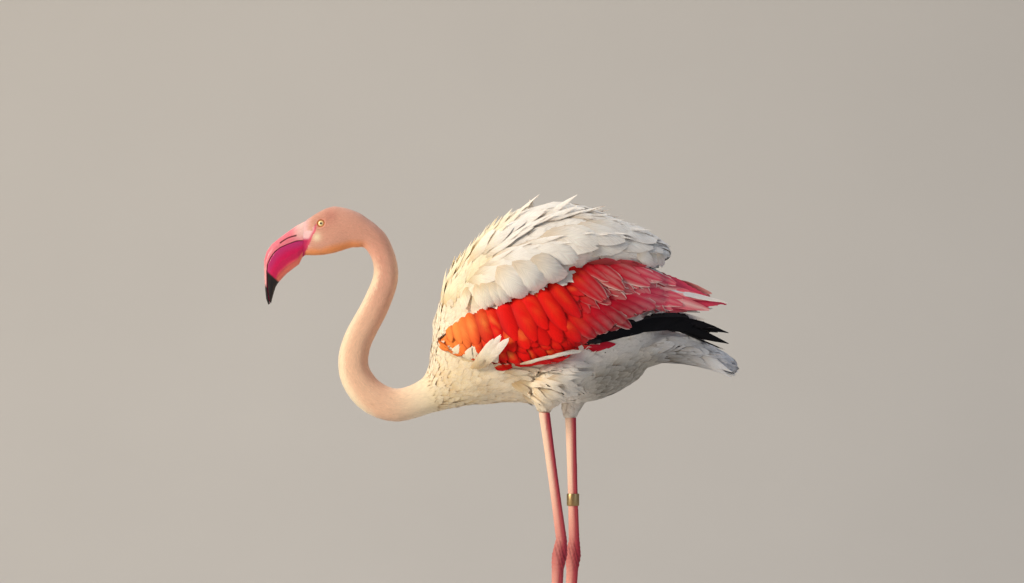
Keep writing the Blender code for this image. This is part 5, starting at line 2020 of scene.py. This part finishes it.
@dataclass
class Bill:
    """The bent bill: both halves, the nostril's groove, the gape and the dark tip.

    Attributes:
        voxel: The size of its squares.
        groove: The nostril's depth and half width.
    """

    voxel: float = 0.0007
    groove: float = 0.0011

    PALE = linear(240, 196, 190)
    PINK = linear(228, 122, 138)
    # Painted shade: dark maroon in the gape and the nostril's groove.
    MAROON_GAP_SHADE = linear(84, 14, 26)
    MAGENTA = linear(206, 8, 84)
    PURPLE = linear(190, 44, 112)
    SALMON = linear(240, 122, 104)
    BLACK = linear(16, 8, 10)

    def build(self) -> None:
        """Builds both halves."""
        upper = self.half("bill_upper", "upper_mandible", "pink_horn")
        lower = self.half("bill_lower", "lower_mandible", "magenta_horn")
        shapes = [Surface(half.data) for half in (upper, lower)]
        for half, shape, other in zip((upper, lower), shapes, shapes[::-1]):
            gaps = np.array([other.tree.find_nearest(place)[3] for place in shape.points.tolist()])
            paint = self.upper_tints if half is upper else self.lower_tints
            if half is upper:
                self.cut_groove(half, shape)
            # Painted shade where the halves meet along the gape.
            set_tints(half.data, blend(paint(shape.points), self.MAROON_GAP_SHADE, ramp(0.0016, 0.0006, gaps)))
            half.data.update()
            half.data.shade_smooth()

    def half(self, node: str, name: str, slot: str) -> Object:
        """Rounds one half of the bill.

        Args:
            node: The CAD node that it stands for.
            name: Its name.
            slot: Its slot.

        Returns:
            The half.
        """
        piece = merged_copy(name, [node], 0.0002)
        set_points(piece.data, rounded(piece, self.voxel, 6).points)
        wear(piece, HORN, slot, node)
        return piece

    def along_groove(self, points: Array) -> Array:
        """Measures from the nostril's line, seen from the side.

        Args:
            points: Places.

        Returns:
            The distance of each.
        """
        low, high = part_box("bill_upper")
        start = np.array((high.x - 0.0106, high.z - 0.0196))
        end = np.array((low.x + 0.0231, high.z - 0.0296))
        place = points[:, [0, 2]]
        run = end - start
        share = np.clip(((place - start) @ run) / (run @ run), 0.0, 1.0)
        bow = np.sin(share * math.pi)[:, None] * np.array((-0.0012, 0.0014))
        return np.linalg.norm(place - start - share[:, None] * run - bow, axis=1)

    def cut_groove(self, piece: Object, shape: Surface) -> None:
        """Presses the nostril's groove in.

        Args:
            piece: The upper half.
            shape: Its surface.
        """
        sink = np.exp(-((self.along_groove(shape.points) / self.groove) ** 2)) * self.groove
        sink *= ramp(0.2, 0.6, np.abs(shape.normals[:, 1]))
        set_points(piece.data, shape.points - shape.normals * sink[:, None])

    def upper_tints(self, points: Array) -> Array:
        """Colours the upper half: pale at its base, with a painted highlight along its ridge, pink along
        its side, painted shade in the nostril's groove and dark at the tip.

        Args:
            points: Places.

        Returns:
            Linear colours.
        """
        low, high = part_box("bill_upper")
        x, z = points[:, 0], points[:, 2]
        base = ramp(high.x - 0.020, high.x - 0.004, x) * ramp(high.z - 0.030, high.z - 0.016, z)
        colour = blend(self.PINK, self.PALE, base)
        # Painted highlight: paler along the ridge.
        ridge = ramp(0.0040, 0.0012, np.abs(points[:, 1]))
        colour = blend(colour, self.PALE, ridge * 0.8)
        colour = blend(colour, self.PALE, ramp(low.z + 0.062, low.z + 0.045, z) * 0.5)
        # Painted shade in the nostril's groove.
        colour = blend(colour, self.MAROON_GAP_SHADE, ramp(0.0015, 0.0006, self.along_groove(points)) * 0.95)
        return blend(colour, self.BLACK, ramp(low.z + 0.031, low.z + 0.023, z))

    def lower_tints(self, points: Array) -> Array:
        """Colours the lower half: magenta, purple above, salmon along its lower edge, black at the tip.

        Args:
            points: Places.

        Returns:
            Linear colours.
        """
        low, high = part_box("bill_lower")
        x, z = points[:, 0], points[:, 2]
        share = (x - low.x) / (high.x - low.x)
        top = np.interp(share, (0.0, 0.1, 0.25, 0.5, 1.0), (0.60, 0.74, 0.86, 0.96, 1.0))
        bottom = np.interp(share, (0.0, 0.12, 0.3, 0.6, 0.85, 1.0), (0.0, 0.12, 0.38, 0.56, 0.66, 0.80))
        height = ((z - low.z) / (high.z - low.z) - bottom) / np.maximum(top - bottom, 0.05)
        colour = blend(self.MAGENTA, self.PURPLE, ramp(0.55, 0.9, height))
        colour = blend(colour, self.SALMON, ramp(0.30, 0.02, height))
        line = low.z + 0.0445 - (x - low.x) * 0.9
        return blend(colour, self.BLACK, ramp(line + 0.002, line - 0.002, z))


@dataclass
class Eyes:
    """Both eyes: a pale yellow iris, a black pupil and a clear cornea.

    Attributes:
        radius: The eyeball's.
        iris: The iris's radius.
        pupil: The pupil's radius.
        bulge: How far the front stands out.
    """

    radius: float = 0.0054
    iris: float = 0.0044
    pupil: float = 0.0014
    bulge: float = 0.0004

    PALE = linear(255, 236, 176)
    AMBER = linear(246, 190, 104)
    RIM = linear(120, 66, 30)
    HALO = linear(255, 236, 180)
    BLACK = linear(8, 6, 6)
    BACK = linear(70, 36, 26)

    def build(self) -> None:
        """Builds the eyes in their sockets."""
        for side, sign in SIDES.items():
            low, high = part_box(f"eye_{side}")
            middle = (low + high) / 2
            bpy.ops.object.select_all(action="DESELECT")
            bpy.ops.mesh.primitive_uv_sphere_add(
                segments=48, ring_count=48, radius=self.radius, location=middle,
                rotation=(math.pi / 2, 0.0, 0.0),
            )
            eye = bpy.context.object
            eye.name = f"eyeball_{side}"
            bpy.ops.object.transform_apply(location=True, rotation=True, scale=True)
            points = points_of(eye.data)
            gap = np.hypot(points[:, 0] - middle.x, points[:, 2] - middle.z)
            front = (points[:, 1] - middle.y) * sign > 0
            points[:, 1] += sign * np.where(front, ramp(self.iris, 0.0, gap) * self.bulge, 0.0)
            set_points(eye.data, points)
            turn = np.arctan2(points[:, 2] - middle.z, points[:, 0] - middle.x)
            streak = 0.5 + 0.5 * np.sin(turn * 23.0 + np.sin(turn * 7.0) * 2.0)
            halo = ramp(self.pupil + 0.0012, self.pupil + 0.0003, gap)
            colour = blend(self.PALE, self.AMBER, streak * 0.4)
            colour = blend(colour, self.RIM, ramp(self.iris - 0.0006, self.iris, gap))
            colour = blend(colour, self.HALO, halo * 0.6)
            colour = blend(colour, self.BLACK, ramp(self.pupil + 0.0002, self.pupil - 0.0001, gap))
            set_tints(eye.data, blend(colour, self.BACK, (~front).astype(float)))
            eye.data.shade_smooth()
            wear(eye, EYE, "iris", f"eye_{side}")


@dataclass
class Ring:
    """The plain metal ring on the right leg.

    Attributes:
        wall: How thick it is.
    """

    wall: float = 0.0009

    def build(self) -> None:
        """Rounds and dresses the ring."""
        piece = merged_copy("ring", ["leg_ring"], 0.0)
        pick(piece)
        bevel = piece.modifiers.new("soft_edges", "BEVEL")
        bevel.width = self.wall * 0.3
        bevel.segments = 3
        bevel.angle_limit = math.radians(50)
        bpy.ops.object.modifier_apply(modifier=bevel.name)
        piece.data.shade_smooth()
        piece.data.set_sharp_from_angle(angle=math.radians(40))
        wear(piece, METAL, "ring_metal", "leg_ring")


@dataclass
class Claws:
    """The eight claws.

    Attributes:
        voxel: The size of their squares.
        toes: The toes of each foot.
    """

    voxel: float = 0.0004
    toes: tuple[str, ...] = ("inner", "middle", "outer", "hind")

    def build(self) -> None:
        """Rounds each claw and keeps it above the floor."""
        for side in SIDES:
            for toe in self.toes:
                node = f"claw_{side}_{toe}"
                piece = merged_copy(f"nail_{side}_{toe}", [node], 0.0)
                points = rounded(piece, self.voxel, 4).points
                points[:, 2] = np.maximum(points[:, 2], 0.0)
                set_points(piece.data, points)
                piece.data.shade_smooth()
                wear(piece, CLAW, "claw_horn", node)


# ---- stage


@dataclass
class Stage:
    """The pale floor and backdrop, the lights and the camera.

    Attributes:
        aim: Where the camera looks.
        view_width: How much it sees across, at the bird.
        distance: How far back it stands.
        sensor: The sensor's width in millimetres.
        sweep: How far behind the bird the floor turns up, and the turn's radius.
        reach: How far the floor runs to each side, to the front, and up as a wall.
        lit: What the lamps point at.
        lamps: Each lamp's name, place, size, power and colour.
        sky: The colour and strength of the light from all round.
    """

    aim: tuple[float, float, float] = (0.0161, 0.0, 0.6962)
    view_width: float = 1.4336
    distance: float = 9.0
    sensor: float = 36.0
    sweep: tuple[float, float] = (1.6, 1.4)
    reach: tuple[float, float, float] = (9.0, -12.0, 7.0)
    lit: tuple[float, float, float] = (0.0, 0.0, 0.62)
    lamps: tuple[tuple, ...] = (
        ("key", (-3.2, -2.2, 1.9), 1.1, 152.0, (1.0, 0.87, 0.69)),
        ("fill", (2.8, -3.0, 1.2), 2.6, 13.0, (0.78, 0.87, 1.0)),
        ("top", (-0.2, 0.6, 3.2), 2.2, 38.0, (1.0, 0.96, 0.92)),
    )
    sky: tuple[tuple[float, ...], float] = ((0.86, 0.90, 1.0, 1.0), 0.28)

    def build(self) -> None:
        """Sets the stage."""
        self.floor()
        self.lights()
        self.camera()

    def floor(self) -> None:
        """A pale floor that curves up behind into a wall."""
        start, bend = self.sweep
        half, front, top = self.reach
        turn = np.linspace(0.0, math.pi / 2, 15)[1:]
        curve = [(start + bend * math.sin(a), bend - bend * math.cos(a)) for a in turn]
        profile = [(front, 0.0), (start, 0.0), *curve, (start + bend, top)]
        mesh = bpy.data.meshes.new("floor")
        spots = [(x, y, z) for y, z in profile for x in (-half, half)]
        mesh.from_pydata(spots, [], [(i, i + 1, i + 3, i + 2) for i in range(0, len(spots) - 2, 2)])
        floor = new_object("floor", mesh)
        floor.data.shade_smooth()
        floor.data.materials.append(self.one_sided(STAGE_FLOOR.material()))

    def one_sided(self, material: Material) -> Material:
        """Makes the backs of faces clear, so that a view from behind the wall sees the bird.

        Args:
            material: The material, which is changed.

        Returns:
            The same material.
        """
        tree = material.node_tree
        back = tree.nodes.new("ShaderNodeNewGeometry").outputs["Backfacing"]
        mixed = tree.nodes.new("ShaderNodeMixShader")
        tree.links.new(back, mixed.inputs["Fac"])
        tree.links.new(tree.nodes["Principled BSDF"].outputs["BSDF"], mixed.inputs[1])
        tree.links.new(tree.nodes.new("ShaderNodeBsdfTransparent").outputs["BSDF"], mixed.inputs[2])
        tree.links.new(mixed.outputs["Shader"], tree.nodes["Material Output"].inputs["Surface"])
        return material

    def lights(self) -> None:
        """A large warm key from the front left, a cool fill from the right and a soft back light."""
        for name, place, size, power, colour in self.lamps:
            lamp = bpy.data.lights.new(name, "AREA")
            lamp.size = size
            lamp.energy = power
            lamp.color = colour
            made = new_object(name, lamp)
            made.location = place
            way = Vector(self.lit) - Vector(place)
            made.rotation_euler = way.to_track_quat("-Z", "Y").to_euler()
        world = bpy.data.worlds.new("studio")
        world.use_nodes = True
        background = world.node_tree.nodes["Background"].inputs
        background["Color"].default_value, background["Strength"].default_value = self.sky
        bpy.context.scene.world = world

    def camera(self) -> None:
        """A level long lens from the bird's left side, which shows colours as they are lit."""
        lens = bpy.data.cameras.new("camera")
        lens.sensor_width = self.sensor
        lens.lens = self.sensor * self.distance / self.view_width
        made = new_object("camera", lens)
        made.location = (self.aim[0], self.aim[1] - self.distance, self.aim[2])
        made.rotation_euler = (math.pi / 2, 0.0, 0.0)
        bpy.context.scene.camera = made
        bpy.context.scene.view_settings.view_transform = "Standard"


STAGE_FLOOR = Finish("stage_floor", colour=(0.62, 0.60, 0.57), roughness=0.9, specular=0.1, mottle=0.02,
                     grain=3.0)


def main() -> None:
    """Builds the bird piece by piece."""
    logging.basicConfig(level=logging.INFO, format="%(message)s")
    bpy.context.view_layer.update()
    marks = MarkingsAndPaintedLight()
    skin = Skin()
    piece, form, regions = skin.build_form()
    unwrap = skin.dress(piece, form, regions, marks)
    skin.finish(piece, marks)
    LOG.info("skin: %d faces", len(piece.data.polygons))
    Plumage(Coat(form, unwrap), regions, marks).build()
    for part in (Bill, Eyes, Ring, Claws, Stage):
        part().build()
        LOG.info("%s built", part.__name__.lower())


if __name__ == "__main__":
    main()
